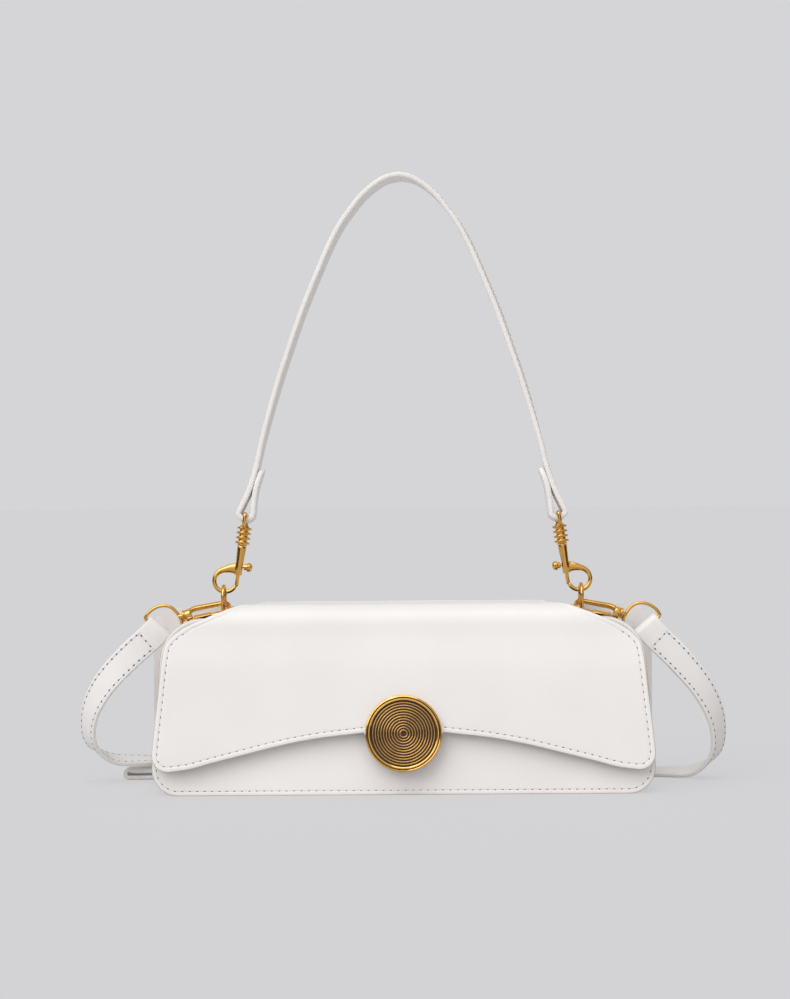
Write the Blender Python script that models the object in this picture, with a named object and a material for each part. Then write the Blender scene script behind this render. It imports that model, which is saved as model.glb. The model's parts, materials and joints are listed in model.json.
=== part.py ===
# A wide, low flap bag with a short shoulder strap and a long crossbody strap.
# Metres. X runs along the bag, Y away from its front, Z up, and the origin is
# the middle of the base, on the surface that the bag stands on.
import math

import bmesh
import bpy
from mathutils import Matrix, Vector

for old in list(bpy.data.objects):
    bpy.data.objects.remove(old, do_unlink=True)

# Fits
gap = 0.0003
overrun = 0.002

# Bag body
front_width = 0.280
front_top_width = 0.268
back_width = 0.288
base_depth = 0.060
top_depth = 0.043
front_height = 0.097
panel_thickness = 0.0015
lower_corner = 0.015
upper_corner = 0.013
front_upper_corner = 0.0240
gusset_thickness = 0.0012
gusset_fold = 0.0400
gusset_drop = 0.0045
board_thickness = 0.0012
board_margin = 0.006
lining_thickness = 0.0008
pocket_width = 0.120
pocket_height = 0.060
pocket_thickness = 0.0010

# Flap
flap_thickness = 0.0013
flap_lining_thickness = 0.0007
flap_lining_inset = 0.0012
flap_hinge_margin = 0.0200
flap_side_margin = 0.00075
flap_rise = 0.0070
shoulder_radius = 0.013
flap_lower_edge = 0.0120
flap_arch_edge = 0.0345
flap_corner_radius = 0.009
flap_lining_start = 0.006

# Gold plate and snap behind it
disc_radius = 0.0210
disc_thickness = 0.0030
disc_rim_width = 0.0026
disc_rim_step = 0.0007
disc_ring_pitch = 0.0048
disc_ring_depth = 0.0005
disc_height = 0.0325
tab_radius = 0.0193
post_radius = 0.0016
clasp_washer_radius = 0.0100
clasp_washer_thickness = 0.0006
stud_radius = 0.0085
stud_thickness = 0.0011
stud_nose_radius = 0.0024
stud_nose_length = 0.0012
socket_radius = 0.0090
socket_thickness = 0.0018
socket_shank_radius = 0.0030
socket_washer_radius = 0.0080
socket_washer_thickness = 0.0006

# Rings at the top corners, and their leather tabs
ring_wire = 0.0022
ring_inside = 0.0110
ring_leg = 0.0080
ring_x = 0.1020
ring_y = 0.0140
ring_rise = 0.0102
tab_width = 0.0095
tab_leather = 0.0011
tab_length = 0.0150

# Bolt snaps of the shoulder strap
hook_wire = 0.0025
hook_lift = 0.0033
hook_arc_radius = 0.00635
hook_arc_out = 0.0066
hook_lean = math.radians(8)
barrel_low = 0.0105
barrel_high = 0.0270
barrel_low_radius = 0.0021
barrel_high_radius = 0.0026
bolt_radius = 0.00105
bolt_reach = 0.0040
bolt_head_radius = 0.0014
bolt_travel = 0.0045
stud_low = 0.0156
stud_stem_radius = 0.0009
stud_stem_out = 0.0046
stud_knob_radius = 0.0028
stud_knob_thickness = 0.0030
collar_low = 0.0277
collar_rib_radius = 0.0042
collar_core_radius = 0.0027
collar_pitch = 0.0028
collar_ribs = 4
collar_rib_thickness = 0.0013
collar_pin_radius = 0.0012
collar_pin_length = 0.0040
eye_wire = 0.0022
eye_sink = 0.0007
eye_rise = 0.0070
eye_corner = 0.0024
eye_side = 0.0005

# Shoulder strap
strap_width = 0.0145
strap_thickness = 0.0030
strap_fold_radius = 0.0024
strap_tail = 0.0240
strap_draw_in = 0.0148
strap_top = 0.2440
strap_lean = math.radians(5)

# Swivel clasps of the crossbody strap
clasp_forward = 0.0067
clasp_wire = 0.0024
clasp_half = 0.0046
clasp_roll = math.radians(35)
clasp_rise = math.radians(11)
clasp_out = 0.0205
clasp_drop = 0.0096
clasp_hub_radius = 0.0032
clasp_hub_length = 0.0050
gate_radius = 0.0014
gate_tongue = 0.0013
lug_width = 0.0036
loop_wire = 0.0019
loop_stem_radius = 0.0013
loop_head_radius = 0.0021
bar_margin = 0.0008

# Crossbody strap
cross_width = 0.0155
cross_thickness = 0.0024
cross_layer = 0.0044
cross_back_gap = 0.0082
cross_drop_out = 0.0431
cross_turn_margin = 0.0160

gusset_height = front_height - gusset_drop
flap_top = front_height + flap_rise
flap_width = front_width - flap_side_margin * 2
flap_hinge_width = (ring_x - flap_hinge_margin) * 2
ring_arc_height = front_height + ring_rise
eye_low = collar_low + collar_pitch * collar_ribs - eye_sink
eye_bar = eye_low + eye_rise
strap_half_span = ring_x - strap_draw_in
clasp_y = ring_y - clasp_forward
clasp_hub = ring_x + clasp_out
clasp_hub_height = ring_arc_height - clasp_drop
cross_back = base_depth / 2 + cross_back_gap + cross_width / 2
left_turn_x = back_width / 2 + cross_turn_margin
right_turn_x = back_width / 2 - cross_turn_margin
lean = math.atan((base_depth - top_depth) / front_height)
front_y = -base_depth / 2
back_y = base_depth / 2
face_origin = Vector((0, front_y, 0))
face_up = Vector((0, math.sin(lean), math.cos(lean)))
face_out = Vector((0, -math.cos(lean), math.sin(lean)))
sideways = Vector((1, 0, 0))


# Materials

def material(name, colour, roughness, metallic):
    made = bpy.data.materials.new(name)
    made.use_nodes = True
    shader = made.node_tree.nodes["Principled BSDF"]
    shader.inputs["Base Color"].default_value = (*colour, 1)
    shader.inputs["Roughness"].default_value = roughness
    shader.inputs["Metallic"].default_value = metallic
    return made


leather = material("leather", (0.82, 0.79, 0.77), 0.5, 0)
cloth = material("cloth", (0.62, 0.57, 0.50), 0.9, 0)
board = material("board", (0.45, 0.40, 0.33), 0.9, 0)
gold = material("gold", (0.80, 0.52, 0.17), 0.25, 1)
steel = material("steel", (0.60, 0.60, 0.60), 0.35, 1)


# Mesh helpers

def make(name, vertices, faces, look, smooth=False):
    mesh = bpy.data.meshes.new(name)
    mesh.from_pydata([tuple(v) for v in vertices], [], faces)
    shape = bmesh.new()
    shape.from_mesh(mesh)
    bmesh.ops.recalc_face_normals(shape, faces=shape.faces)
    shape.to_mesh(mesh)
    shape.free()
    if smooth:
        mesh.shade_smooth()
        mesh.set_sharp_from_angle(angle=math.radians(40))
    made = bpy.data.objects.new(name, mesh)
    bpy.context.scene.collection.objects.link(made)
    if look:
        made.data.materials.append(look)
    return made


def boolean(target, tool, operation):
    change = target.modifiers.new(tool.name, "BOOLEAN")
    change.operation = operation
    change.object = tool
    tool.hide_render = True
    tool.display_type = "WIRE"
    tool.parent = target


def pivot(made, point):
    # Puts an object's origin on its joint's axis without moving its shape or its cutters.
    made.location = point
    for item in [made, *made.children]:
        item.data.transform(Matrix.Translation(-point))


def lathe(name, profile, base, axis, look, sides=20):
    # Turns (radius, height) points round an axis; a radius of zero closes the end.
    axis = axis.normalized()
    across = axis.orthogonal().normalized()
    over = axis.cross(across)
    vertices = []
    rings = []
    for radius, height in profile:
        middle = base + axis * height
        if radius == 0:
            rings.append([len(vertices)])
            vertices.append(middle)
            continue
        ring = []
        for step in range(sides):
            angle = math.tau * step / sides
            ring.append(len(vertices))
            arm = across * math.cos(angle) + over * math.sin(angle)
            vertices.append(middle + arm * radius)
        rings.append(ring)
    if len(rings[0]) > 1 or len(rings[-1]) > 1:
        rings.append(rings[0])
    faces = []
    for low, high in zip(rings, rings[1:]):
        for step in range(sides):
            after = (step + 1) % sides
            if len(low) == 1 and len(high) == 1:
                continue
            if len(low) == 1:
                faces.append((low[0], high[step], high[after]))
            elif len(high) == 1:
                faces.append((low[step], low[after], high[0]))
            else:
                faces.append((low[step], low[after], high[after], high[step]))
    return make(name, vertices, faces, look, smooth=True)


def wire(name, points, radius, look, closed=False, sides=8):
    # A round bar along a path, with its ends square to the path.
    count = len(points)
    tangents = []
    for index in range(count):
        before = points[index - 1] if closed or index else points[index]
        after = points[(index + 1) % count] if closed or index < count - 1 else points[index]
        tangents.append((after - before).normalized())
    normal = tangents[0].orthogonal().normalized()
    normals = [normal]
    for first, second in zip(tangents, tangents[1:]):
        normal = first.rotation_difference(second) @ normal
        normals.append(normal.normalized())
    twist = 0
    if closed:
        last = tangents[-1].rotation_difference(tangents[0]) @ normals[-1]
        side = tangents[0].cross(normals[0])
        twist = -math.atan2(last.dot(side), last.dot(normals[0]))
    vertices = []
    for index, point in enumerate(points):
        turn = twist * index / count
        arm = Matrix.Rotation(turn, 3, tangents[index]) @ normals[index]
        other = tangents[index].cross(arm)
        for step in range(sides):
            angle = math.tau * step / sides
            vertices.append(point + (arm * math.cos(angle) + other * math.sin(angle)) * radius)
    faces = []
    for index in range(count if closed else count - 1):
        after = (index + 1) % count
        for step in range(sides):
            beside = (step + 1) % sides
            faces.append((
                index * sides + step, index * sides + beside,
                after * sides + beside, after * sides + step))
    if not closed:
        faces.append(tuple(range(sides)))
        faces.append(tuple((count - 1) * sides + step for step in range(sides)))
    return make(name, vertices, faces, look, smooth=True)


def ribbon(name, path, width, thickness, look):
    # A flat strap: path holds the middle point and the direction of its width.
    count = len(path)
    vertices = []
    for index, (point, across) in enumerate(path):
        before = path[max(index - 1, 0)][0]
        after = path[min(index + 1, count - 1)][0]
        tangent = (after - before).normalized()
        across = (across - tangent * across.dot(tangent)).normalized()
        out = tangent.cross(across)
        half = across * width / 2
        thick = out * thickness / 2
        vertices += [point - half - thick, point + half - thick]
        vertices += [point + half + thick, point - half + thick]
    faces = []
    for index in range(count - 1):
        for step in range(4):
            beside = (step + 1) % 4
            faces.append((
                index * 4 + step, index * 4 + beside,
                index * 4 + 4 + beside, index * 4 + 4 + step))
    faces.append((0, 1, 2, 3))
    faces.append(tuple(count * 4 - 4 + step for step in range(4)))
    return make(name, vertices, faces, look)


def prism(name, outline, depth, place, look, lines=()):
    # A flat outline given a thickness, cut along lines so that place can bend it.
    shape = bmesh.new()
    corners = [shape.verts.new((x, y, 0)) for x, y in outline]
    face = shape.faces.new(corners)
    made = bmesh.ops.extrude_face_region(shape, geom=[face])
    top = [item for item in made["geom"] if isinstance(item, bmesh.types.BMVert)]
    bmesh.ops.translate(shape, verts=top, vec=(0, 0, depth))
    bmesh.ops.triangulate(shape, faces=shape.faces)
    for line in lines:
        parts = shape.verts[:] + shape.edges[:] + shape.faces[:]
        bmesh.ops.bisect_plane(
            shape, geom=parts, plane_co=(0, line, 0), plane_no=(0, 1, 0))
    bmesh.ops.triangulate(shape, faces=shape.faces)
    bmesh.ops.recalc_face_normals(shape, faces=shape.faces)
    for vertex in shape.verts:
        vertex.co = place(*vertex.co)
    bmesh.ops.recalc_face_normals(shape, faces=shape.faces)
    mesh = bpy.data.meshes.new(name)
    shape.to_mesh(mesh)
    shape.free()
    solid = bpy.data.objects.new(name, mesh)
    bpy.context.scene.collection.objects.link(solid)
    if look:
        mesh.materials.append(look)
    return solid


def arc(centre, radius, start, end, steps):
    # Points of an arc in a plane, its angles in degrees.
    points = []
    for step in range(steps + 1):
        angle = math.radians(start + (end - start) * step / steps)
        points.append((
            centre[0] + radius * math.cos(angle), centre[1] + radius * math.sin(angle)))
    return points


def rounded(points, radius, steps=5):
    # Rounds each corner of a closed outline.
    outline = []
    count = len(points)
    for index in range(count):
        corner = Vector(points[index])
        before = (Vector(points[index - 1]) - corner)
        after = (Vector(points[(index + 1) % count]) - corner)
        reach = radius[index] if isinstance(radius, (list, tuple)) else radius
        if reach == 0:
            outline.append(tuple(corner))
            continue
        angle = before.angle(after)
        cut = reach / math.tan(angle / 2)
        middle = (before.normalized() + after.normalized()).normalized()
        centre = corner + middle * reach / math.sin(angle / 2)
        first = corner + before.normalized() * cut - centre
        last = corner + after.normalized() * cut - centre
        turn = math.atan2(first.x * last.y - first.y * last.x, first.dot(last))
        for step in range(steps + 1):
            share = turn * step / steps
            outline.append((
                centre.x + first.x * math.cos(share) - first.y * math.sin(share),
                centre.y + first.x * math.sin(share) + first.y * math.cos(share)))
    return outline


def smooth_path(points, each=4):
    # A smooth curve through the given points, each of any number of values.
    result = []
    count = len(points)
    for index in range(count - 1):
        before = points[max(index - 1, 0)]
        start = points[index]
        end = points[index + 1]
        after = points[min(index + 2, count - 1)]
        for step in range(each):
            share = step / each
            square = share * share
            cube = square * share
            result.append(tuple(
                (2 * b + (c - a) * share + (2 * a - 5 * b + 4 * c - d) * square
                 + (3 * b - a - 3 * c + d) * cube) / 2
                for a, b, c, d in zip(before, start, end, after)))
    result.append(tuple(points[-1]))
    return result


def on_face(x, up, out):
    return face_origin + sideways * x + face_up * up + face_out * out


def on_back(x, up, out):
    return Vector((x, back_y - out, up))


def on_base(x, along, up):
    return Vector((x, along, up))


# Bag body

def between(low, high, share):
    return low + (high - low) * share


def front_face_y(height):
    return front_y + height * math.tan(lean)


def corner_pull(height, inset):
    # How far the rounded lower corner draws in a surface that lies inset from the outside.
    if height >= lower_corner:
        return 0
    drop = lower_corner - height
    radius = lower_corner - inset
    return radius - math.sqrt(max(radius ** 2 - drop ** 2, 0))


fold_least = 0.0015
fold_full_height = ring_arc_height - ring_leg - tab_length
fold_flat = tab_width / 2 + tab_leather
tip_y_low = 0


def side_section(height, inset):
    # The gusset's middle line at a height, from the front panel to the back panel, drawn in
    # at the lower corner as a surface at that inset is.
    share = min(1, max(0, (height - lower_corner) / (fold_full_height - lower_corner)))
    fold = between(fold_least, gusset_fold, share)
    flat = between(fold_flat / 2, fold_flat, share)
    tip_y = between(tip_y_low, ring_y, share)
    front_half = between(front_width, front_top_width, height / front_height) / 2
    draw = gusset_thickness / 2 + corner_pull(height, inset)
    front_corner = Vector((front_half - draw, front_face_y(height)))
    back_corner = Vector((back_width / 2 - draw, back_y))
    tip_x = (front_corner.x + back_corner.x) / 2 - fold
    return [front_corner, Vector((tip_x, tip_y - flat)), Vector((tip_x, tip_y + flat)), back_corner]


side_parts = 4


def divided(start, end):
    # The start of an edge and the points that divide it in equal parts.
    return [between(start, end, part / side_parts) for part in range(side_parts)]


def sloped(height, share):
    # A height on the side, lowered towards the front edge as its share asks, so that the
    # side's top ends where the front panel's rounded corner starts.
    climb = max(0, height - lower_corner) / (gusset_height - lower_corner)
    return height - (gusset_height - front_height + front_upper_corner) * climb * share


def crossing(first, first_way, second, second_way):
    turn = first_way.x * second_way.y - first_way.y * second_way.x
    step = second - first
    reach = (step.x * second_way.y - step.y * second_way.x) / turn
    return first + first_way * reach


def inner_ring(height, panel_inset, gusset_inset):
    # A closed ring inside the panels and gussets, at set distances from them.
    right = side_section(height, gusset_thickness / 2 + gusset_inset)
    left = [Vector((-point.x, point.y)) for point in reversed(right)]
    corners = right + left
    insets = [gusset_inset] * 3 + [panel_inset] + [gusset_inset] * 3 + [panel_inset]
    lines = []
    for index, corner in enumerate(corners):
        way = (corners[(index + 1) % len(corners)] - corner).normalized()
        inward = Vector((-way.y, way.x))
        lines.append((corner + inward * insets[index], way))
    ring = []
    for index in range(len(corners)):
        ring.append(crossing(*lines[index - 1], *lines[index]))
    fine = []
    last = len(ring) - 1
    for index, point in enumerate(ring):
        after = ring[(index + 1) % len(ring)]
        whole = index % 2 and index < last
        fine += [point] if whole else divided(point, after)
    return [Vector((point.x, point.y, height)) for point in fine]


def sloped_ring(height, panel_inset, gusset_inset):
    # The inner ring with its front corners lowered as the gussets' are.
    away = [1 - part / side_parts for part in range(side_parts)]
    level = [0] * side_parts
    shares = away + [0] + level + [0] + level + [0, 0]
    shares += [part / side_parts for part in range(1, side_parts)] + [1] + [0] * (side_parts - 1)
    ring = []
    for index, share in enumerate(shares):
        ring.append(inner_ring(sloped(height, share), panel_inset, gusset_inset)[index])
    return ring


def thick_sheet(name, rows, thickness, look):
    # A curved sheet given a thickness about its middle surface.
    high = len(rows)
    wide = len(rows[0])
    front = []
    back = []
    for row in range(high):
        for column in range(wide):
            along = rows[row][min(column + 1, wide - 1)] - rows[row][max(column - 1, 0)]
            up = rows[min(row + 1, high - 1)][column] - rows[max(row - 1, 0)][column]
            out = along.cross(up).normalized() * thickness / 2
            front.append(rows[row][column] + out)
            back.append(rows[row][column] - out)
    faces = []
    offset = high * wide
    for row in range(high - 1):
        for column in range(wide - 1):
            a = row * wide + column
            b = a + 1
            c = b + wide
            d = a + wide
            faces += [(a, b, c), (a, c, d)]
            faces += [(a + offset, c + offset, b + offset), (a + offset, d + offset, c + offset)]
    border = [column for column in range(wide)]
    border += [row * wide + wide - 1 for row in range(1, high)]
    border += [(high - 1) * wide + column for column in range(wide - 2, -1, -1)]
    border += [row * wide for row in range(high - 2, 0, -1)]
    for index, a in enumerate(border):
        b = border[(index + 1) % len(border)]
        faces.append((a, a + offset, b + offset, b))
    return make(name, front + back, faces, look)


front_up = front_height / math.cos(lean)
disc_up = disc_height / math.cos(lean)
snap_foot = on_face(0, disc_up, 0)


def panel_outline(low, high, bottom, top, low_corner, high_corner):
    points = [(-low, bottom), (low, bottom), (high, top), (-high, top)]
    return rounded(points, [low_corner, low_corner, high_corner, high_corner])


def add_front_panel():
    outline = panel_outline(
        front_width / 2, front_top_width / 2, 0, front_up, lower_corner, front_upper_corner)
    panel = prism("front_panel", outline, -panel_thickness, on_face, leather)
    tool = lathe("front_panel_hole", [
        (0, -panel_thickness - overrun), (socket_shank_radius + gap, -panel_thickness - overrun),
        (socket_shank_radius + gap, overrun), (0, overrun)], snap_foot, face_out, None)
    boolean(panel, tool, "DIFFERENCE")


flap_stack = flap_thickness + gap + flap_lining_thickness
flap_half = flap_stack / 2
back_height_at_hinge = flap_top - flap_stack - gap


def add_back_panel():
    half = back_width / 2
    outline = panel_outline(half, half, 0, back_height_at_hinge, lower_corner, upper_corner)
    prism("back_panel", outline, panel_thickness, on_back, leather)


def side_levels():
    # The heights at which the sides bend, above the rounded lower corner.
    levels = 5
    heights = []
    for step in range(1, levels + 1):
        heights.append(between(lower_corner, fold_full_height, step / levels))
    return heights + [gusset_height]


def add_gusset(name, side):
    edge = panel_thickness + gap + gusset_thickness
    heights = [gusset_thickness / 2]
    steps = 5
    for step in range(1, steps + 1):
        angle = math.radians(90) * step / steps
        radius = lower_corner - gusset_thickness / 2
        heights.append(lower_corner - radius * math.cos(angle))
    heights += side_levels()
    rows = []
    for height in heights:
        row = []
        for part in range(side_parts):
            level = sloped(height, 1 - part / side_parts)
            front, tip_front, tip_back, back = side_section(level, gusset_thickness / 2)
            front = between(front, tip_front, edge / (tip_front.y - front.y))
            point = between(front, tip_front, part / side_parts)
            row.append(Vector((side * point.x, point.y, level)))
        front, tip_front, tip_back, back = side_section(height, gusset_thickness / 2)
        back = between(back, tip_back, edge / (back.y - tip_back.y))
        for point in [tip_front] + divided(tip_back, back) + [back]:
            row.append(Vector((side * point.x, point.y, height)))
        rows.append(row)
    thick_sheet(name, rows, gusset_thickness, leather)


def add_base_panel():
    ring = inner_ring(gusset_thickness / 2, panel_thickness + gap, gap)
    outline = [(point.x - math.copysign(gap * 2, point.x), point.y) for point in ring]
    prism("base_panel", outline, gusset_thickness, on_base, leather)


lining_inset = panel_thickness + board_thickness + gap * 2
lining_base = gusset_thickness + board_thickness + gap * 2


def board_half(height, back):
    # Half the width that the gussets leave for a board at a height.
    ring = inner_ring(height, lining_inset, gusset_thickness / 2 + gap)
    reach = [abs(point.x) for point in ring if (point.y > 0) == back]
    return max(reach) - gap


def add_boards():
    top = front_height - board_margin
    outline = panel_outline(
        board_half(board_margin, False), board_half(top, False), board_margin, top / math.cos(lean),
        board_margin, front_upper_corner)

    def front_place(x, up, out):
        return on_face(x, up, out - panel_thickness - gap)

    front = prism("front_board", outline, -board_thickness, front_place, board)
    reach = panel_thickness + board_thickness + overrun
    tool = lathe("front_board_hole", [
        (0, -reach), (socket_washer_radius + gap, -reach),
        (socket_washer_radius + gap, overrun), (0, overrun)], snap_foot, face_out, None)
    boolean(front, tool, "DIFFERENCE")

    outline = panel_outline(
        board_half(board_margin, True), board_half(top, True), board_margin, top,
        board_margin, board_margin)

    def back_place(x, up, out):
        return on_back(x, up, out + panel_thickness + gap)

    prism("back_board", outline, board_thickness, back_place, board)

    half = front_width / 2 - lower_corner
    low = front_y + panel_thickness + board_thickness + gap * 2
    high = back_y - panel_thickness - board_thickness - gap
    outline = [(-half, low), (half, low), (half, high), (-half, high)]

    def base_place(x, along, up):
        return on_base(x, along, up + gusset_thickness + gap)

    prism("base_board", outline, board_thickness, base_place, board)


def add_lining():
    heights = [lining_base]
    low_steps = 5
    for step in range(1, low_steps + 1):
        heights.append(between(lining_base, lower_corner, step / low_steps))
    heights += side_levels()
    side_inset = gusset_thickness / 2 + gap
    rings = [sloped_ring(height, lining_inset, side_inset) for height in heights]
    thicker = lining_inset + lining_thickness
    deeper = side_inset + lining_thickness
    heights[0] += lining_thickness
    rings += [sloped_ring(height, thicker, deeper) for height in reversed(heights)]
    vertices = [point for ring in rings for point in ring]
    wide = len(rings[0])
    faces = [tuple(range(wide)), tuple(len(vertices) - wide + step for step in range(wide))]
    for level in range(len(rings) - 1):
        for step in range(wide):
            a = level * wide + step
            b = level * wide + (step + 1) % wide
            c = b + wide
            d = a + wide
            # Both sides of the bag fold alike, so their faces are divided alike
            rising = vertices[a].x + vertices[b].x > 0
            if level >= len(rings) // 2:
                rising = not rising
            faces += [(a, b, c), (a, c, d)] if rising else [(a, b, d), (b, c, d)]
    make("lining", vertices, faces, cloth)


pocket_low = 0.018


def add_pocket():
    half = pocket_width / 2
    outline = panel_outline(
        half, half, pocket_low, pocket_low + pocket_height, board_margin, pocket_thickness)
    seat = lining_inset + lining_thickness + gap

    def place(x, up, out):
        return on_back(x, up, out + seat)

    prism("inner_pocket", outline, pocket_thickness, place, cloth)


# Flap

stud_seat = gap + socket_thickness + gap
washer_seat = stud_seat + stud_thickness + gap
flap_stand = washer_seat + clasp_washer_thickness + gap + flap_half
hinge = Vector((0, back_y - flap_half, flap_top - flap_half))
shoulder_z = hinge.z - shoulder_radius
shoulder_y = front_y - (
    flap_stand - shoulder_radius - shoulder_z * math.sin(lean)) / math.cos(lean)
top_run = hinge.y - shoulder_y
shoulder_turn = math.radians(90) - lean
shoulder_end = top_run + shoulder_radius * shoulder_turn
shoulder_up = (shoulder_y - front_y) * math.sin(lean) + shoulder_z * math.cos(lean)


def on_flap(x, run, out):
    # A place on the flap: run is measured from the hinge over the shoulder and down.
    if run <= top_run:
        return Vector((x, hinge.y - run, hinge.z + out))
    if run <= shoulder_end:
        angle = (run - top_run) / shoulder_radius
        reach = shoulder_radius + out
        return Vector((
            x, shoulder_y - reach * math.sin(angle), shoulder_z + reach * math.cos(angle)))
    return on_face(x, shoulder_up - (run - shoulder_end), flap_stand + out)


def run_at(height):
    # The run at which the flap's face is at a height.
    up = (height - flap_stand * math.sin(lean)) / math.cos(lean)
    return shoulder_end + shoulder_up - up


flap_run = run_at(flap_lower_edge)

# Shares of the flap's run and of its half width, down its side edge
flap_side_shares = (
    (0.178, 0.596), (0.250, 0.632), (0.310, 0.704), (0.355, 0.790), (0.400, 0.876),
    (0.445, 0.930), (0.500, 0.955), (0.700, 0.975), (0.880, 0.992))
# Shares of the flap's half width and of the rise of its lower edge, towards the middle
flap_arch_shares = (
    (0.840, 0.140), (0.761, 0.270), (0.625, 0.480), (0.485, 0.690), (0.345, 0.850),
    (0.208, 0.950), (0.158, 0.985))


def flap_outline(inset, start):
    half = flap_width / 2
    side = [(flap_hinge_width / 2, start)]
    for run_share, width_share in flap_side_shares:
        side.append((half * width_share, flap_run * run_share))
    corner = (half, flap_run)
    rise = flap_arch_edge - flap_lower_edge
    lower = []
    for width_share, rise_share in flap_arch_shares:
        lower.append((half * width_share, run_at(flap_lower_edge + rise * rise_share)))
    tab_steps = 10
    tab_start = -18
    centre = (0, shoulder_end + shoulder_up - disc_up)
    tab = arc(centre, tab_radius, -tab_start, 180 + tab_start, tab_steps)
    right = side + [corner] + lower
    radii = [0] * len(side) + [flap_corner_radius] + [0] * len(lower)
    left = [(-x, run) for x, run in reversed(right)]
    points = right + tab + left
    outline = rounded(points, radii + [0] * len(tab) + radii[::-1])
    if not inset:
        return outline
    shrunk = []
    count = len(outline)
    for index, point in enumerate(outline):
        before = (Vector(point) - Vector(outline[index - 1])).normalized()
        after = (Vector(outline[(index + 1) % count]) - Vector(point)).normalized()
        way = (before + after).normalized()
        inward = Vector((-way.y, way.x))
        shrunk.append(tuple(Vector(point) + inward * inset))
    return shrunk


def flap_lines():
    steps = 8
    return [between(top_run, shoulder_end, step / steps) for step in range(steps + 1)]


def post_tool(name):
    reach = flap_stand + flap_half + overrun
    hole = post_radius + gap
    return lathe(
        name, [(0, 0), (hole, 0), (hole, reach), (0, reach)], snap_foot, face_out, None)


def add_flap():
    def outer(x, run, out):
        return on_flap(x, run, flap_half - out)

    flap = prism(
        "flap_leather", flap_outline(0, 0), flap_thickness, outer, leather, flap_lines())
    bead = lathe("flap_bead", [
        (0, -flap_hinge_width / 2), (flap_half, -flap_hinge_width / 2),
        (flap_half, flap_hinge_width / 2), (0, flap_hinge_width / 2)],
        hinge, sideways, None, 16)
    boolean(flap, bead, "UNION")
    boolean(flap, post_tool("flap_leather_hole"), "DIFFERENCE")
    pivot(flap, hinge)

    def inner(x, run, out):
        return on_flap(x, run, -flap_half + out)

    cover = prism(
        "flap_lining", flap_outline(flap_lining_inset, flap_lining_start),
        flap_lining_thickness, inner, cloth, flap_lines())
    boolean(cover, post_tool("flap_lining_hole"), "DIFFERENCE")
    pivot(cover, hinge)


# Gold plate and snap

stud_hole_depth = 0.0008
nose_clearance = 0.0009
bore_extra = 0.0002


def add_disc():
    back = flap_stand + flap_half + gap
    top = back + disc_thickness
    field = top - disc_rim_step
    inside = disc_radius - disc_rim_width
    profile = [(disc_radius, back), (disc_radius, top), (inside, top), (inside, field)]
    count = int((inside - disc_ring_pitch) / disc_ring_pitch)
    for ring in range(count):
        outer = inside - disc_ring_pitch * (ring + 0.5)
        inner = outer - disc_ring_pitch / 2
        low = field - disc_ring_depth
        profile += [(outer, field), (outer, low), (inner, low), (inner, field)]
    tip = stud_seat + stud_thickness - stud_hole_depth + gap
    profile = [(0, tip), (post_radius, tip), (post_radius, back)] + profile + [(0, field)]
    pivot(lathe("clasp_disc", profile, snap_foot, face_out, gold, 36), hinge)


def add_snap():
    top = washer_seat + clasp_washer_thickness
    bore = post_radius + gap
    washer = lathe("clasp_washer", [
        (bore, washer_seat), (clasp_washer_radius, washer_seat), (clasp_washer_radius, top),
        (bore, top)], snap_foot, face_out, steel)
    pivot(washer, hinge)
    high = stud_seat + stud_thickness
    tip = stud_seat - stud_nose_length
    stud = lathe("snap_stud", [
        (0, tip), (stud_nose_radius, tip), (stud_nose_radius, stud_seat),
        (stud_radius, stud_seat), (stud_radius, high), (bore, high),
        (bore, high - stud_hole_depth), (0, high - stud_hole_depth)],
        snap_foot, face_out, steel)
    pivot(stud, hinge)
    top = gap + socket_thickness
    floor = tip - gap
    cup = stud_nose_radius + nose_clearance
    washer_low = -panel_thickness - gap - socket_washer_thickness
    end = washer_low - bore_extra
    lathe("snap_socket", [
        (0, end), (socket_shank_radius, end), (socket_shank_radius, gap),
        (socket_radius, gap), (socket_radius, top), (cup, top), (cup, floor), (0, floor)],
        snap_foot, face_out, steel)
    bore = socket_shank_radius + gap
    high = washer_low + socket_washer_thickness
    lathe("snap_socket_washer", [
        (bore, washer_low), (socket_washer_radius, washer_low), (socket_washer_radius, high),
        (bore, high)], snap_foot, face_out, steel)


# Rings and their tabs

def add_ring(name, side):
    radius = (ring_inside + ring_wire) / 2
    points = arc((ring_y, ring_arc_height), radius, 0, 180, 10)
    low = ring_arc_height - ring_leg
    corners = rounded(
        [(ring_y + radius, ring_arc_height), (ring_y - radius, ring_arc_height),
         (ring_y - radius, low), (ring_y + radius, low)], [0, 0, ring_wire / 2, ring_wire / 2], 3)
    path = [Vector((side * ring_x, y, z)) for y, z in points[:-1] + corners[1:]]
    ring = wire(name, path, ring_wire / 2, gold, closed=True, sides=10)
    pivot(ring, Vector((side * ring_x, ring_y, low)))


def add_ring_tab(name, side):
    low = ring_arc_height - ring_leg
    radius = ring_wire / 2 + gap + tab_leather / 2
    section = [(radius, low - tab_length)]
    section += arc((0, low), radius, 0, 180, 8)
    section += [(-radius, low - tab_length)]
    across = Vector((0, 1, 0))
    path = [(Vector((side * ring_x + x, ring_y, z)), across) for x, z in section]
    ribbon(name, path, tab_width, tab_leather, leather)


# Shoulder strap and its bolt snaps

swing_point = Vector((0, ring_y, ring_arc_height))
swing_lean = Matrix.Rotation(-strap_lean, 3, "X")
strap_across = swing_lean @ Vector((0, 1, 0))


def on_strap(x, across, height):
    return swing_point + swing_lean @ Vector((x, across, height))


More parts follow.
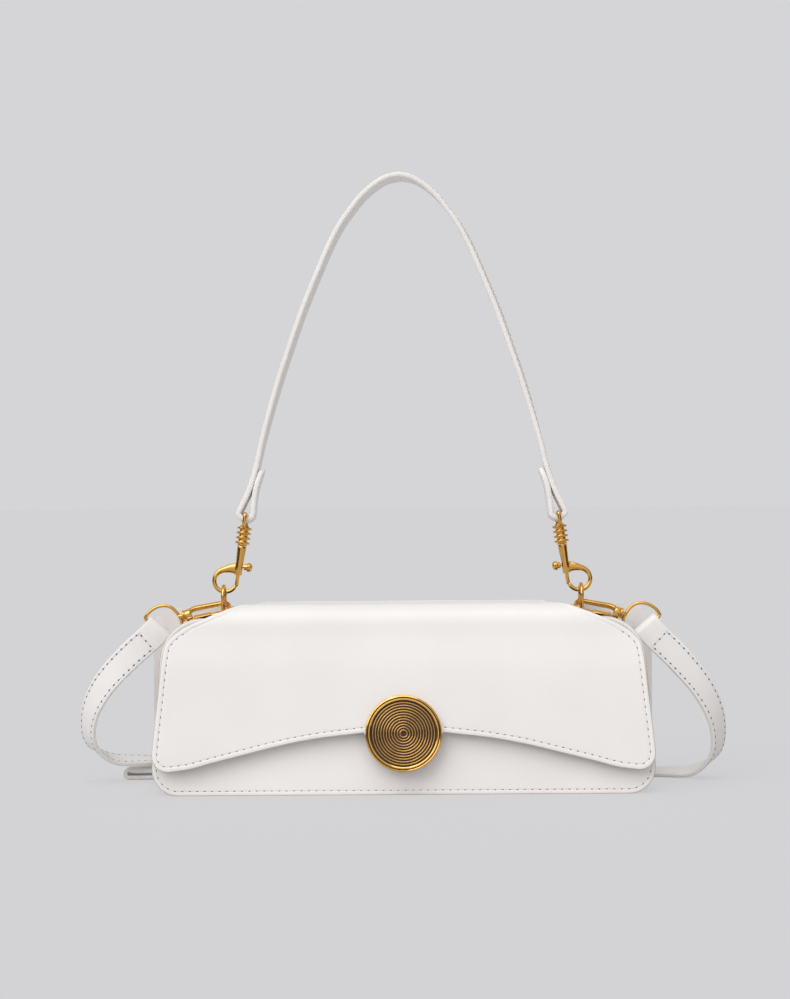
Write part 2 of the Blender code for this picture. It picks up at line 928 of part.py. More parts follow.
class Snap:
    # The frame of one bolt snap: out from its axis, up along it, and across.
    def __init__(self, side):
        self.side = side
        self.out = Vector((side * math.cos(hook_lean), 0, math.sin(hook_lean)))
        self.up = Vector((-side * math.sin(hook_lean), 0, math.cos(hook_lean)))
        self.foot = Vector((side * ring_x, 0, hook_lift)) - self.out * hook_arc_out

    def at(self, out, up, across=0):
        flat = self.foot + self.out * out + self.up * up
        return on_strap(flat.x, across, flat.z)

    def way(self):
        return (swing_lean @ self.up).normalized()

    def sideway(self):
        return (swing_lean @ self.out).normalized()


def block(name, middle, axes, sizes, look=None):
    vertices = []
    for x in (-1, 1):
        for y in (-1, 1):
            for z in (-1, 1):
                corner = middle.copy()
                for sign, axis, size in zip((x, y, z), axes, sizes):
                    corner += axis.normalized() * sign * size / 2
                vertices.append(corner)
    faces = [(0, 1, 3, 2), (4, 6, 7, 5), (0, 4, 5, 1), (2, 3, 7, 6), (0, 2, 6, 4), (1, 5, 7, 3)]
    return make(name, vertices, faces, look)


pin_clearance = 0.00015
hook_end_angle = -156
hook_top_angle = 72
septum = 0.0005
bend_share = 0.7


def add_hook(name, side):
    snap = Snap(side)
    bore = bolt_head_radius + gap
    rod_hole = bolt_radius + gap
    pin_hole = collar_pin_radius + pin_clearance
    pin_floor = collar_low - collar_pin_length - gap
    lip = hook_wire / 2
    body = lathe(name, [
        (0, pin_floor - septum), (bore, pin_floor - septum), (bore, barrel_low + lip),
        (rod_hole, barrel_low + lip), (rod_hole, barrel_low), (barrel_low_radius, barrel_low),
        (barrel_high_radius, barrel_high), (pin_hole, barrel_high), (pin_hole, pin_floor),
        (0, pin_floor)], snap.at(0, 0), snap.way(), gold, 14)
    points = arc(
        (hook_arc_out, hook_arc_radius), hook_arc_radius, hook_end_angle, hook_top_angle, 12)
    end_out = barrel_low_radius - pin_clearance
    last = points[-1]
    joint_up = last[1] + hook_wire * 2 / 3
    middle_out = (last[0] + end_out) / 2
    points += [(middle_out, between(last[1], joint_up, bend_share)), (end_out, joint_up)]
    loop = wire(name + "_wire", [snap.at(*point) for point in points], hook_wire / 2, None)
    boolean(body, loop, "UNION")
    width = (stud_stem_radius + gap) * 2
    middle = stud_low + bolt_travel / 2
    slot = block(
        name + "_slot", snap.at(-barrel_high_radius, middle),
        (snap.sideway(), snap.way(), strap_across),
        (barrel_high_radius * 2, bolt_travel + width, width))
    boolean(body, slot, "DIFFERENCE")
    pivot(body, snap.at(0, collar_low))


def add_bolt(name, side):
    snap = Snap(side)
    reach = bolt_reach
    high = stud_low + stud_knob_radius
    body = lathe(name, [
        (0, reach), (bolt_radius, reach), (bolt_radius, barrel_low + hook_wire * 2 / 3),
        (bolt_head_radius, barrel_low + hook_wire), (bolt_head_radius, high), (0, high)],
        snap.at(0, 0), snap.way(), gold, 12)
    knob_end = stud_stem_out + stud_knob_thickness
    knob = lathe(name + "_knob", [
        (0, 0), (stud_stem_radius, 0), (stud_stem_radius, stud_stem_out),
        (stud_knob_radius * 2 / 3, stud_stem_out), (stud_knob_radius, stud_stem_out + gap * 2),
        (stud_knob_radius, knob_end - gap * 2), (stud_knob_radius * 2 / 3, knob_end),
        (0, knob_end)], snap.at(0, stud_low), -snap.sideway(), None, 14)
    boolean(body, knob, "UNION")
    pivot(body, snap.at(0, bolt_reach))


def add_eye(name, side):
    snap = Snap(side)
    low = collar_low
    profile = [
        (0, low - collar_pin_length), (collar_pin_radius, low - collar_pin_length),
        (collar_pin_radius, low)]
    half = (collar_pitch - collar_rib_thickness) / 2
    for rib in range(collar_ribs):
        start = low + collar_pitch * rib
        profile += [
            (collar_core_radius, start), (collar_core_radius, start + half),
            (collar_rib_radius, start + half + gap),
            (collar_rib_radius, start + collar_pitch - half - gap),
            (collar_core_radius, start + collar_pitch - half)]
    high = low + collar_pitch * collar_ribs
    profile += [(collar_core_radius, high), (0, high)]
    body = lathe(name, profile, snap.at(0, 0), snap.way(), gold, 12)
    half_wide = strap_width / 2 + eye_side + eye_wire / 2
    outline = rounded(
        [(-half_wide, eye_low), (half_wide, eye_low), (half_wide, eye_bar), (-half_wide, eye_bar)],
        [eye_corner, eye_corner, eye_wire * 2 / 3, eye_wire * 2 / 3], 4)
    path = [snap.at(0, up, across) for across, up in outline]
    loop = wire(name + "_loop", path, eye_wire / 2, None, closed=True)
    boolean(body, loop, "UNION")
    pivot(body, swing_point)


# Shares of the strap's half span and of its rise, from where its layers meet to the arch
arch_shares = (
    (1.000, 0.000), (0.949, 0.079), (0.904, 0.173), (0.814, 0.328), (0.728, 0.454),
    (0.640, 0.575), (0.523, 0.713), (0.457, 0.785), (0.391, 0.844), (0.326, 0.888),
    (0.263, 0.927), (0.198, 0.957), (0.136, 0.979), (0.070, 0.994), (0.000, 1.000))
strap_meet = 0.0610
layer_step = strap_thickness + gap * 1.5


def strap_half_path():
    # From the tail's tip down, round the eye's bar, and up to the middle of the arch.
    snap = Snap(1)
    radius = strap_fold_radius + strap_thickness / 2
    fold_up = eye_bar - eye_wire / 2 - gap + strap_fold_radius
    fold = []
    for out, up in arc((0, fold_up), radius, 180, 360, 5):
        flat = snap.foot + snap.out * out + snap.up * up
        fold.append((flat.x, flat.z))
    rise = strap_top - strap_meet
    main = []
    for span_share, rise_share in arch_shares:
        main.append((strap_half_span * span_share, strap_meet + rise * rise_share))
    slope = (main[1][0] - main[0][0]) / (main[1][1] - main[0][1])
    tail_high = strap_meet + strap_tail / 2
    tail_x = strap_half_span - layer_step * math.sqrt(1 + slope * slope)
    tail = [
        (tail_x + slope * (tail_high - strap_meet), tail_high),
        (tail_x, strap_meet)]
    return smooth_path(tail + fold + main, 2)


def add_strap():
    right = strap_half_path()
    left = [(-x, height) for x, height in reversed(right[:-1])]
    path = [(on_strap(x, 0, height), strap_across) for x, height in right + left]
    strap = ribbon("shoulder_strap", path, strap_width, strap_thickness, leather)
    length = sum((b[0] - a[0]).length for a, b in zip(path, path[1:]))
    print("shoulder strap leather, folded ends included:", round(length, 4))
    pivot(strap, swing_point)


# Swivel clasps

class Clasp:
    # The frame of one clasp: along towards its nose, and over across its two bars.
    def __init__(self, side):
        self.side = side
        self.hub = Vector((side * clasp_hub, clasp_y, clasp_hub_height))
        self.along = Vector((-side * math.cos(clasp_rise), 0, math.sin(clasp_rise)))
        upward = Vector((side * math.sin(clasp_rise), 0, math.cos(clasp_rise)))
        self.over = Vector((0, math.cos(clasp_roll), 0)) + upward * math.sin(clasp_roll)
        self.flat = self.along.cross(self.over).normalized()

    def at(self, along, over, flat=0):
        return self.hub + self.along * along + self.over * over + self.flat * flat


clasp_nose = 0.0199
neck_share = 0.8
clasp_stub = 0.0145
lug_length = 0.0030
lug_middle = 0.0017
lug_height = 0.0036
lug_over = 0.0036
pin_along = 0.0020
pin_over = 0.0045
tongue_length = 0.0037
tongue_height = 0.0020
gate_swing_room = 0.0004
gate_start = 0.0041
pin_radius = 0.0004
hub_floor = 0.0003
hub_wall = 0.0010


def clasp_pin(name, clasp, radius, length, look):
    half = length / 2
    foot = clasp.at(pin_along, -pin_over)
    return lathe(
        name, [(0, -half), (radius, -half), (radius, half), (0, half)], foot, clasp.flat,
        look, 12)


def add_clasp(side_name, side):
    clasp = Clasp(side)
    name = side_name + "_clasp_body"
    half = clasp_hub_length / 2
    cavity = loop_head_radius + gap
    mouth = loop_stem_radius + gap
    body = lathe(name, [
        (0, hub_floor), (cavity, hub_floor), (cavity, -half + hub_wall),
        (mouth, -half + hub_wall), (mouth, -half), (clasp_hub_radius, -half),
        (clasp_hub_radius, half), (0, half)], clasp.hub, clasp.along, gold, 16)
    root = clasp_hub_radius - clasp_wire / 2
    points = [(half / 2, root), (half, clasp_half * neck_share), (half * 2, clasp_half)]
    points += arc((clasp_nose, 0), clasp_half, 90, -90, 10)
    points += [(clasp_stub, -clasp_half)]
    bars = wire(name + "_bars", [clasp.at(*point) for point in points], clasp_wire / 2, None)
    boolean(body, bars, "UNION")
    axes = (clasp.along, clasp.over, clasp.flat)
    lug = block(
        name + "_lug", clasp.at(lug_middle, -lug_over), axes, (lug_length, lug_height, lug_width))
    boolean(body, lug, "UNION")
    slot_width = gate_tongue + gap * 2
    slot_over = pin_over - tongue_height / 2 - gap - gate_swing_room
    slot = block(
        name + "_slot", clasp.at(lug_middle + gap, -slot_over - lug_height / 2), axes,
        (lug_length + gap * 2, lug_height, slot_width))
    boolean(body, slot, "DIFFERENCE")
    hole = clasp_pin(name + "_hole", clasp, pin_radius + pin_clearance, lug_width * 2, None)
    boolean(body, hole, "DIFFERENCE")
    pivot(body, clasp.hub)

    name = side_name + "_clasp_gate"
    gate = lathe(name, [
        (0, gate_start), (gate_radius, gate_start), (gate_radius, clasp_stub - gap),
        (0, clasp_stub - gap)], clasp.at(0, -clasp_half), clasp.along, gold, 14)
    tongue = block(
        name + "_tongue", clasp.at(gate_start + gap - tongue_length / 2 + gap, -pin_over), axes,
        (tongue_length, tongue_height, gate_tongue))
    boolean(gate, tongue, "UNION")
    hole = clasp_pin(name + "_hole", clasp, pin_radius + pin_clearance, lug_width * 2, None)
    boolean(gate, hole, "DIFFERENCE")
    pivot(gate, clasp.at(pin_along, -pin_over))
    pivot(clasp_pin(side_name + "_gate_pin", clasp, pin_radius, lug_width, steel), clasp.hub)


# The strap loop's outline, as shares of the crossbody strap's width: along its bar, and
# from the bar towards the clasp
loop_shares = (
    (0.645, 0.085), (0.658, 0.320), (0.568, 0.610), (0.375, 0.840), (0.097, 0.945),
    (-0.277, 0.890), (-0.516, 0.760), (-0.645, 0.515), (-0.665, 0.260), (-0.645, 0.085))
stem_shares = (-0.257, 0.849)
bar_angle = math.radians(41.4)


def loop_frame(side):
    # The bar's middle, set out from the stem's end, and the ways along it and towards the clasp.
    along = Vector((side * math.cos(bar_angle), 0, math.sin(bar_angle)))
    inward = Vector((-side * math.sin(bar_angle), 0, math.cos(bar_angle)))
    stem_along, stem_inward = stem_shares
    offset = along * cross_width * stem_along + inward * cross_width * stem_inward
    return Clasp(side).at(-clasp_hub_length, 0) - offset, along, inward


def add_loop(name, side):
    clasp = Clasp(side)
    middle, along, inward = loop_frame(side)
    half = cross_width / 2 + bar_margin
    outline = [(-half, 0), (0, 0), (half, 0)]
    outline += [(cross_width * x, cross_width * y) for x, y in loop_shares]
    closed = outline[-2:] + outline + outline[:2]
    curve = smooth_path(closed, 1)[2:-2]
    path = [middle + along * x + inward * y for x, y in curve]
    stem_end = -clasp_hub_length
    head = -clasp_hub_length / 2 + hub_wall + gap
    body = lathe(name, [
        (0, stem_end), (loop_stem_radius, stem_end), (loop_stem_radius, head),
        (loop_head_radius, head), (loop_head_radius, hub_floor - gap),
        (0, hub_floor - gap)], clasp.hub, clasp.along, gold, 14)
    loop = wire(name + "_wire", path, loop_wire / 2, None, closed=True)
    boolean(body, loop, "UNION")


# Crossbody strap: its drop beside the bag, from the loop's bar to the run behind the bag.
# Each point holds shares of the way out past the bar, of the way to the run behind the bag
# and of the height above the run, and the direction of the strap's width there.
drop_shares = (
    (0.086, 0.000, 0.952, -0.73, 0.00, -0.68), (0.427, 0.020, 0.785, -0.72, -0.22, -0.66),
    (0.754, 0.090, 0.595, -0.74, -0.50, -0.45), (0.960, 0.210, 0.390, -0.64, -0.74, -0.20),
    (0.974, 0.400, 0.188, -0.45, -0.88, 0.00), (0.724, 0.670, 0.060, -0.25, -0.94, -0.20),
    (0.253, 0.900, 0.014, -0.05, -0.98, -0.12), (-0.026, 0.980, 0.001, 0.00, -1.00, 0.00))
tail_points = 4


def drop_path(side, run_height):
    # From the tail's tip up behind the strap, over the bar and down the drop.
    middle, along, inward = loop_frame(side)
    radius = loop_wire / 2 + gap + cross_thickness / 2
    front = clasp_y - radius
    drop = []
    for out_share, back_share, height_share, *across in drop_shares:
        drop.append((
            middle.x * side + cross_drop_out * out_share,
            between(front, cross_back, back_share),
            between(run_height, middle.z, height_share), *across))
    down = []
    for x, y, z, *across in smooth_path(drop, 2):
        down.append((Vector((side * x, y, z)), Vector((side * across[0], *across[1:]))))
    behind = Vector((0, cross_thickness + gap * 2, 0))
    path = [(point + behind, across) for point, across in reversed(down[:tail_points])]
    for up, out in arc((0, 0), radius, 90, -90, 6):
        place = middle + inward * up + Vector((0, out, 0))
        path.append((place, -along))
    return path + down


def turn_path(x, high, low, side):
    # A half turn between two layers that lie on each other.
    radius = (high - low) / 2
    flat = Vector((0, -1, 0))
    path = []
    for reach, up in arc((0, (high + low) / 2), radius, 90, -90, 6):
        path.append((Vector((side * (x + reach), cross_back, up)), flat))
    return path


def run_path(start, end, height, steps=8):
    flat = Vector((0, -1, 0))
    return [
        (Vector((between(start, end, step / steps), cross_back, height)), flat)
        for step in range(1, steps)]


def add_cross_strap():
    floor = cross_thickness / 2 + gap / 3
    second = floor + cross_layer
    third = second + cross_layer
    left = drop_path(-1, third)
    right = drop_path(1, floor)
    path = left + run_path(left[-1][0].x, right_turn_x, third)
    path += turn_path(right_turn_x, third, second, 1)
    path += run_path(right_turn_x, -left_turn_x, second)
    path += turn_path(left_turn_x, second, floor, -1)
    path += run_path(-left_turn_x, right[-1][0].x, floor)
    path += list(reversed(right))
    ribbon("crossbody_strap", path, cross_width, cross_thickness, leather)
    length = sum((b[0] - a[0]).length for a, b in zip(path, path[1:]))
    print("crossbody strap leather, folded ends included:", round(length, 4))


add_front_panel()
add_back_panel()
add_gusset("left_gusset", -1)
add_gusset("right_gusset", 1)
add_base_panel()
add_boards()
add_lining()
add_pocket()
add_flap()
add_disc()
add_snap()
for side_name, side in (("left", -1), ("right", 1)):
    add_ring(side_name + "_d_ring", side)
    add_ring_tab(side_name + "_ring_tab", side)
    add_hook(side_name + "_hook_body", side)
    add_bolt(side_name + "_bolt", side)
    add_eye(side_name + "_swivel_eye", side)
    add_clasp(side_name, side)
    add_loop(side_name + "_clasp_loop", side)
add_strap()
add_cross_strap()
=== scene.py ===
import json
import math
import bpy
from mathutils import Matrix, Vector, noise


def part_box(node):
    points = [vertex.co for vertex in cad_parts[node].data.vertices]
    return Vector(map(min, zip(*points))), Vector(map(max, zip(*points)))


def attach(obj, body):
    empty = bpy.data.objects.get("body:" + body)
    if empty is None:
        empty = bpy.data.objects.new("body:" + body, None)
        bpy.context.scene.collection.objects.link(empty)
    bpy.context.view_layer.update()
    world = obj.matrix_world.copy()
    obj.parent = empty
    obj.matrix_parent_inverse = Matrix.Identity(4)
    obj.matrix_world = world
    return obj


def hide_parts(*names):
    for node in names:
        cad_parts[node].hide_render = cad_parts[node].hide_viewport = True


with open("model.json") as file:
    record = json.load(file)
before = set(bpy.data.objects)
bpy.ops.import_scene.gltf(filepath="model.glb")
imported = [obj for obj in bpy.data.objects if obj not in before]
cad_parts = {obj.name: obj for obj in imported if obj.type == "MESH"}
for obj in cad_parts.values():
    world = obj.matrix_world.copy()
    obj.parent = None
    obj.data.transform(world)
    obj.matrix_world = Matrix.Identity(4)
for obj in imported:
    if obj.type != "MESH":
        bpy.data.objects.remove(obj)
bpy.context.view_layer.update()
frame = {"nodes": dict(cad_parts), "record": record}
scene = bpy.context.scene


# Camera, lamps and floor

view = {
    "cameraPlace": (-0.0039, -1.180, 0.1626),
    "lens": 75.3,
    "sensorWidth": 36,
    "rollDegrees": 0.36,
    "backdropColour": (0.665, 0.665, 0.680, 1),
    "floorColour": (0.62, 0.62, 0.63, 1),
    "floorSize": 80,
    "floorRoughness": 0.9,
    "floorSpecular": 0.1,
    "floorShadowShare": 0.24,
    "skyStrength": 0.55,
    "skyTop": (1.0, 1.0, 1.0, 1),
    "skyBottom": (0.50, 0.50, 0.51, 1),
    "studioDark": (0.070, 0.065, 0.062, 1),
    "lampAim": (0, 0, 0.1),
}
lamps = {
    "keyLamp": {"place": (-0.8, -0.9, 1.2), "spread": 50, "strength": 1.22},
    "topLamp": {"place": (0.0, -0.55, 1.5), "spread": 34, "strength": 0.56},
    "fillLamp": {"place": (0.1, -1.4, 0.40), "spread": 60, "strength": 0.50},
}


def clearSelection():
    if bpy.context.object and bpy.context.object.mode != "OBJECT":
        bpy.ops.object.mode_set(mode="OBJECT")
    bpy.ops.object.select_all(action="DESELECT")


def newNode(tree, kind, place, inputs=None, **values):
    node = tree.nodes.new("ShaderNode" + kind)
    node.location = place
    for name, value in values.items():
        setattr(node, name, value)
    for label, value in (inputs or {}).items():
        node.inputs[label].default_value = value
    return node


def joinNodes(tree, *links):
    # Each link is the giving node, its output, the taking node and its input
    for giver, output, taker, socket in links:
        tree.links.new(giver.outputs[output], taker.inputs[socket])


def addCamera():
    clearSelection()
    turn = (math.radians(90), math.radians(view["rollDegrees"]), 0)
    bpy.ops.object.camera_add(location=view["cameraPlace"], rotation=turn)
    camera = bpy.context.object
    camera.data.lens = view["lens"]
    camera.data.sensor_width = view["sensorWidth"]
    scene.camera = camera


def addLamps():
    for name, lamp in lamps.items():
        clearSelection()
        bpy.ops.object.light_add(type="SUN", location=lamp["place"])
        light = bpy.context.object
        light.name = name
        light.data.angle = math.radians(lamp["spread"])
        light.data.energy = lamp["strength"]
        aim = Vector(view["lampAim"]) - light.location
        light.rotation_euler = aim.to_track_quat("-Z", "Y").to_euler()


def addWorld():
    world = scene.world or bpy.data.worlds.new("studio")
    scene.world = world
    world.use_nodes = True
    tree = world.node_tree
    tree.nodes.clear()
    output = newNode(tree, "OutputWorld", (800, 0))
    pick = newNode(tree, "MixShader", (600, 0))
    direction = newNode(tree, "TexCoord", (-400, 0))
    split = newNode(tree, "SeparateXYZ", (-200, 0))
    path = newNode(tree, "LightPath", (0, 300))
    seen = newNode(tree, "Math", (200, 300), operation="MAXIMUM")
    seenThrough = newNode(tree, "Math", (400, 300), operation="MAXIMUM")
    height = newNode(tree, "MapRange", (0, 0), {"From Min": -0.2, "From Max": 0.7})
    ramp = newNode(
        tree, "Mix", (200, 0), {6: view["skyBottom"], 7: view["skyTop"]}, data_type="RGBA")
    sky = newNode(tree, "Background", (400, 0), {"Strength": view["skyStrength"]})
    # What metal mirrors: the backdrop behind and above it, and the unlit room by the camera
    behind = newNode(tree, "MapRange", (0, -300), {"From Max": 0.7})
    above = newNode(tree, "MapRange", (0, -500), {"From Min": 0.15, "From Max": 0.8})
    bright = newNode(tree, "Math", (200, -400), operation="MAXIMUM")
    shown = newNode(tree, "Math", (300, -300), operation="MAXIMUM")
    room = newNode(
        tree, "Mix", (350, -200), {6: view["studioDark"], 7: view["backdropColour"]},
        data_type="RGBA")
    backdrop = newNode(tree, "Background", (400, -200))
    joinNodes(
        tree,
        (direction, "Generated", split, 0),
        (split, "Y", behind, "Value"), (split, "Z", above, "Value"), (split, "Z", height, "Value"),
        (behind, "Result", bright, 0), (above, "Result", bright, 1),
        (bright, 0, shown, 0), (path, "Is Camera Ray", shown, 1),
        (shown, 0, room, 0), (room, 2, backdrop, "Color"),
        (height, "Result", ramp, 0), (ramp, 2, sky, "Color"),
        (path, "Is Camera Ray", seen, 0), (path, "Is Glossy Ray", seen, 1),
        (seen, 0, seenThrough, 0), (path, "Is Transmission Ray", seenThrough, 1),
        (seenThrough, 0, pick, 0), (sky, 0, pick, 1), (backdrop, 0, pick, 2), (pick, 0, output, 0))


def addFloor():
    clearSelection()
    bpy.ops.mesh.primitive_plane_add(size=view["floorSize"], location=(0, 0, 0))
    floor = bpy.context.object
    floor.name = "floor"
    made = bpy.data.materials.new("floorPaint")
    made.use_nodes = True
    tree = made.node_tree
    shader = tree.nodes["Principled BSDF"]
    shader.inputs["Roughness"].default_value = view["floorRoughness"]
    shader.inputs["Specular IOR Level"].default_value = view["floorSpecular"]
    shader.inputs["Base Color"].default_value = view["floorColour"]
    glow = newNode(tree, "Emission", (0, -400), {"Color": view["backdropColour"]})
    path = newNode(tree, "LightPath", (-400, 300))
    share = newNode(
        tree, "Math", (-200, 300), {1: 1 - view["floorShadowShare"]}, operation="MULTIPLY")
    pick = newNode(tree, "MixShader", (300, 0))
    joinNodes(
        tree, (path, "Is Camera Ray", share, 0), (share, 0, pick, 0), (shader, 0, pick, 1),
        (glow, 0, pick, 2), (pick, 0, tree.nodes["Material Output"], 0))
    floor.data.materials.append(made)


addCamera()
addLamps()
addWorld()
addFloor()
scene.view_settings.view_transform = "Standard"
print("camera, lamps and floor are in place")


# Shader groups that the finishes share

def newGroup(name, inputs, outputs):
    tree = bpy.data.node_groups.new(name, "ShaderNodeTree")
    tree.interface.new_socket(name="Place", in_out="INPUT", socket_type="NodeSocketVector")
    for label, value in inputs.items():
        kind = "NodeSocketColor" if isinstance(value, tuple) else "NodeSocketFloat"
        socket = tree.interface.new_socket(name=label, in_out="INPUT", socket_type=kind)
        socket.default_value = value
    for label in outputs:
        kind = "NodeSocketColor" if label == "Color" else "NodeSocketFloat"
        tree.interface.new_socket(name=label, in_out="OUTPUT", socket_type=kind)
    start = tree.nodes.new("NodeGroupInput")
    end = tree.nodes.new("NodeGroupOutput")
    start.location.x = -900
    end.location.x = 900
    return tree, start, end


def grainGroup():
    # Fine pores and soft creases of finished hide, with a slow change of tone
    tree, start, end = newGroup(
        "hideGrain",
        {"Light": (0.85, 0.82, 0.80, 1), "Shade": (0.78, 0.74, 0.72, 1), "Pore Scale": 1500,
         "Gloss": 0.45},
        ("Color", "Roughness", "Height"))
    pores = newNode(tree, "TexVoronoi", (-600, 200), feature="SMOOTH_F1")
    creases = newNode(tree, "TexNoise", (-600, -100), {"Scale": 220, "Detail": 6})
    tone = newNode(tree, "TexNoise", (-600, -400), {"Scale": 18, "Detail": 3})
    toneShare = newNode(tree, "MapRange", (0, -400), {"From Min": 0.35, "From Max": 0.7})
    mix = newNode(tree, "Mix", (200, 200), data_type="RGBA")
    height = newNode(tree, "Math", (200, -100), {1: 0.5}, operation="MULTIPLY_ADD")
    gloss = newNode(tree, "Math", (200, -300), {1: 0.12}, operation="MULTIPLY_ADD")
    joinNodes(
        tree,
        (start, "Place", pores, "Vector"), (start, "Place", creases, "Vector"),
        (start, "Place", tone, "Vector"), (start, "Pore Scale", pores, "Scale"),
        (start, "Light", mix, 6), (start, "Shade", mix, 7),
        (tone, "Fac", toneShare, "Value"), (toneShare, "Result", mix, 0),
        (pores, "Distance", height, 0), (creases, "Fac", height, 2),
        (creases, "Fac", gloss, 0), (start, "Gloss", gloss, 2),
        (mix, 2, end, "Color"), (gloss, 0, end, "Roughness"), (height, 0, end, "Height"))
    return tree


def platingGroup():
    # Plated metal: a slight drift of tone, smears in its gloss and very fine waves
    tree, start, end = newGroup(
        "platedTone",
        {"Bright": (0.9, 0.6, 0.2, 1), "Deep": (0.7, 0.4, 0.1, 1), "Gloss": 0.2},
        ("Color", "Roughness", "Height"))
    drift = newNode(tree, "TexNoise", (-600, 200), {"Scale": 160, "Detail": 3})
    smear = newNode(tree, "TexNoise", (-600, -100), {"Scale": 900, "Detail": 4})
    mix = newNode(tree, "Mix", (200, 200), data_type="RGBA")
    gloss = newNode(tree, "Math", (200, -100), {1: 0.14}, operation="MULTIPLY_ADD")
    joinNodes(
        tree,
        (start, "Place", drift, "Vector"), (start, "Place", smear, "Vector"),
        (drift, "Fac", mix, 0), (start, "Bright", mix, 6), (start, "Deep", mix, 7),
        (smear, "Fac", gloss, 0), (start, "Gloss", gloss, 2),
        (mix, 2, end, "Color"), (gloss, 0, end, "Roughness"), (smear, "Fac", end, "Height"))
    return tree


def weaveGroup():
    # Plain weave: two sets of threads crossing at right angles
    tree, start, end = newGroup(
        "plainWeave",
        {"Warp": (0.7, 0.65, 0.58, 1), "Weft": (0.55, 0.50, 0.43, 1), "Thread Scale": 420},
        ("Color", "Height"))
    over = newNode(tree, "Math", (-200, 0), operation="MULTIPLY")
    mix = newNode(tree, "Mix", (200, 200), data_type="RGBA")
    for index, direction in enumerate("XZ"):
        wave = newNode(tree, "TexWave", (-600, 200 - 300 * index), bands_direction=direction)
        joinNodes(
            tree, (start, "Place", wave, "Vector"), (start, "Thread Scale", wave, "Scale"),
            (wave, "Fac", over, index))
    joinNodes(
        tree, (over, 0, mix, 0), (start, "Weft", mix, 6), (start, "Warp", mix, 7),
        (mix, 2, end, "Color"), (over, 0, end, "Height"))
    return tree


groups = {"hide": grainGroup(), "plated": platingGroup(), "weave": weaveGroup()}


def finish(name, group, first, second, last, bump, **shaderValues):
    # A material: the group gives colour, gloss and height, the shader holds its plain values.
    # first and second are the group's two colours, last its other values in their order, and
    # bump is a height and a strength
    made = bpy.data.materials.new(name)
    made.use_nodes = True
    tree = made.node_tree
    shader = tree.nodes["Principled BSDF"]
    place = newNode(tree, "TexCoord", (-900, 0))
    pattern = newNode(tree, "Group", (-600, 0), node_tree=groups[group])
    values = [(*first, 1), (*second, 1), *last]
    for socket, value in zip(list(pattern.inputs)[1:], values):
        socket.default_value = value
    relief = newNode(tree, "Bump", (-300, -300), {"Distance": bump[0], "Strength": bump[1]})
    for label, value in shaderValues.items():
        shader.inputs[label].default_value = value
    joinNodes(
        tree, (place, "Object", pattern, "Place"), (pattern, "Color", shader, "Base Color"),
        (pattern, "Height", relief, "Height"), (relief, "Normal", shader, "Normal"))
    if "Roughness" in pattern.outputs:
        joinNodes(tree, (pattern, "Roughness", shader, "Roughness"))
    return made


# Hides take pore scale and gloss after their colours, plated metals gloss, and cloths the
# thread scale
leather = finish(
    "whiteHide", "hide", (0.850, 0.820, 0.800), (0.815, 0.782, 0.762), (1500, 0.30), (0.00004, 0.30))
strapLeather = finish(
    "strapHide", "hide", (0.865, 0.840, 0.820), (0.820, 0.790, 0.770), (1700, 0.38), (0.00002, 0.15))
edgePaint = finish(
    "paintedEdge", "hide", (0.850, 0.815, 0.775), (0.800, 0.762, 0.720), (900, 0.42), (0.00002, 0.1))
# Brown for the cut edges of the panels and the flap: partly real edge paint, partly a painted shadow
# line where the bag meets the floor
cutEdgeAndShadowLine = finish(
    "cutEdgeAndShadowLine", "hide", (0.620, 0.550, 0.480), (0.520, 0.450, 0.380), (1200, 0.50), (0.00002, 0.2))
# Near-black for the needle holes: painted shade standing in for the dark inside of each hole
needleHoleShade = finish(
    "needleHoleShade", "hide", (0.13, 0.105, 0.085), (0.075, 0.058, 0.045), (2500, 0.7), (0.00002, 0.3))
board = finish(
    "fibreBoard", "hide", (0.48, 0.43, 0.36), (0.40, 0.35, 0.29), (800, 0.8), (0.00005, 0.6))
gold = finish(
    "goldPlate", "plated", (0.86, 0.50, 0.140), (0.66, 0.35, 0.075), (0.07,), (0.00001, 0.15),
    Metallic=1)
satinGold = finish(
    "satinGold", "plated", (0.66, 0.39, 0.130), (0.46, 0.25, 0.070), (0.20,), (0.00001, 0.15),
    Metallic=1)
# Near-black brown laid in the gold plate's hollows and rim groove as painted shade
hollowShade = finish(
    "paintedHollowShade", "plated", (0.070, 0.036, 0.018), (0.030, 0.016, 0.009), (0.50,), (0.00002, 0.3),
    Metallic=0.3)
steel = finish(
    "nickelSteel", "plated", (0.66, 0.65, 0.63), (0.55, 0.54, 0.52), (0.22,), (0.00001, 0.2),
    Metallic=1)
cloth = finish(
    "liningCloth", "weave", (0.66, 0.60, 0.52), (0.50, 0.45, 0.38), (420,), (0.00006, 0.6),
    Roughness=0.85)
thread = finish(
    "sewingThread", "weave", (0.86, 0.83, 0.81), (0.76, 0.72, 0.69), (900,), (0.00003, 0.5),
    Roughness=0.7)
finishOfSlot = {"leather": leather, "cloth": cloth, "board": board, "gold": gold, "steel": steel}
for entry in frame["record"]["subparts"]:
    node = frame["nodes"][entry["node"]]
    node.data.materials.clear()
    node.data.materials.append(finishOfSlot[entry["material_slot"]])
print("finishes are made")


# Ways of working that every piece shares

def activate(piece):
    clearSelection()
    piece.select_set(True)
    bpy.context.view_layer.objects.active = piece


def editAll(piece):
    activate(piece)
    bpy.ops.object.mode_set(mode="EDIT")
    bpy.ops.mesh.select_all(action="SELECT")


def turnOutwards(piece):
    editAll(piece)
    bpy.ops.mesh.normals_make_consistent(inside=False)
    bpy.ops.object.mode_set(mode="OBJECT")


def applied(piece, kind, **values):
    # Adds a modifier, sets its values and applies it
    activate(piece)
    modifier = piece.modifiers.new(kind.lower(), kind)
    for name, value in values.items():
        setattr(modifier, name, value)
    bpy.ops.object.modifier_apply(modifier=modifier.name)


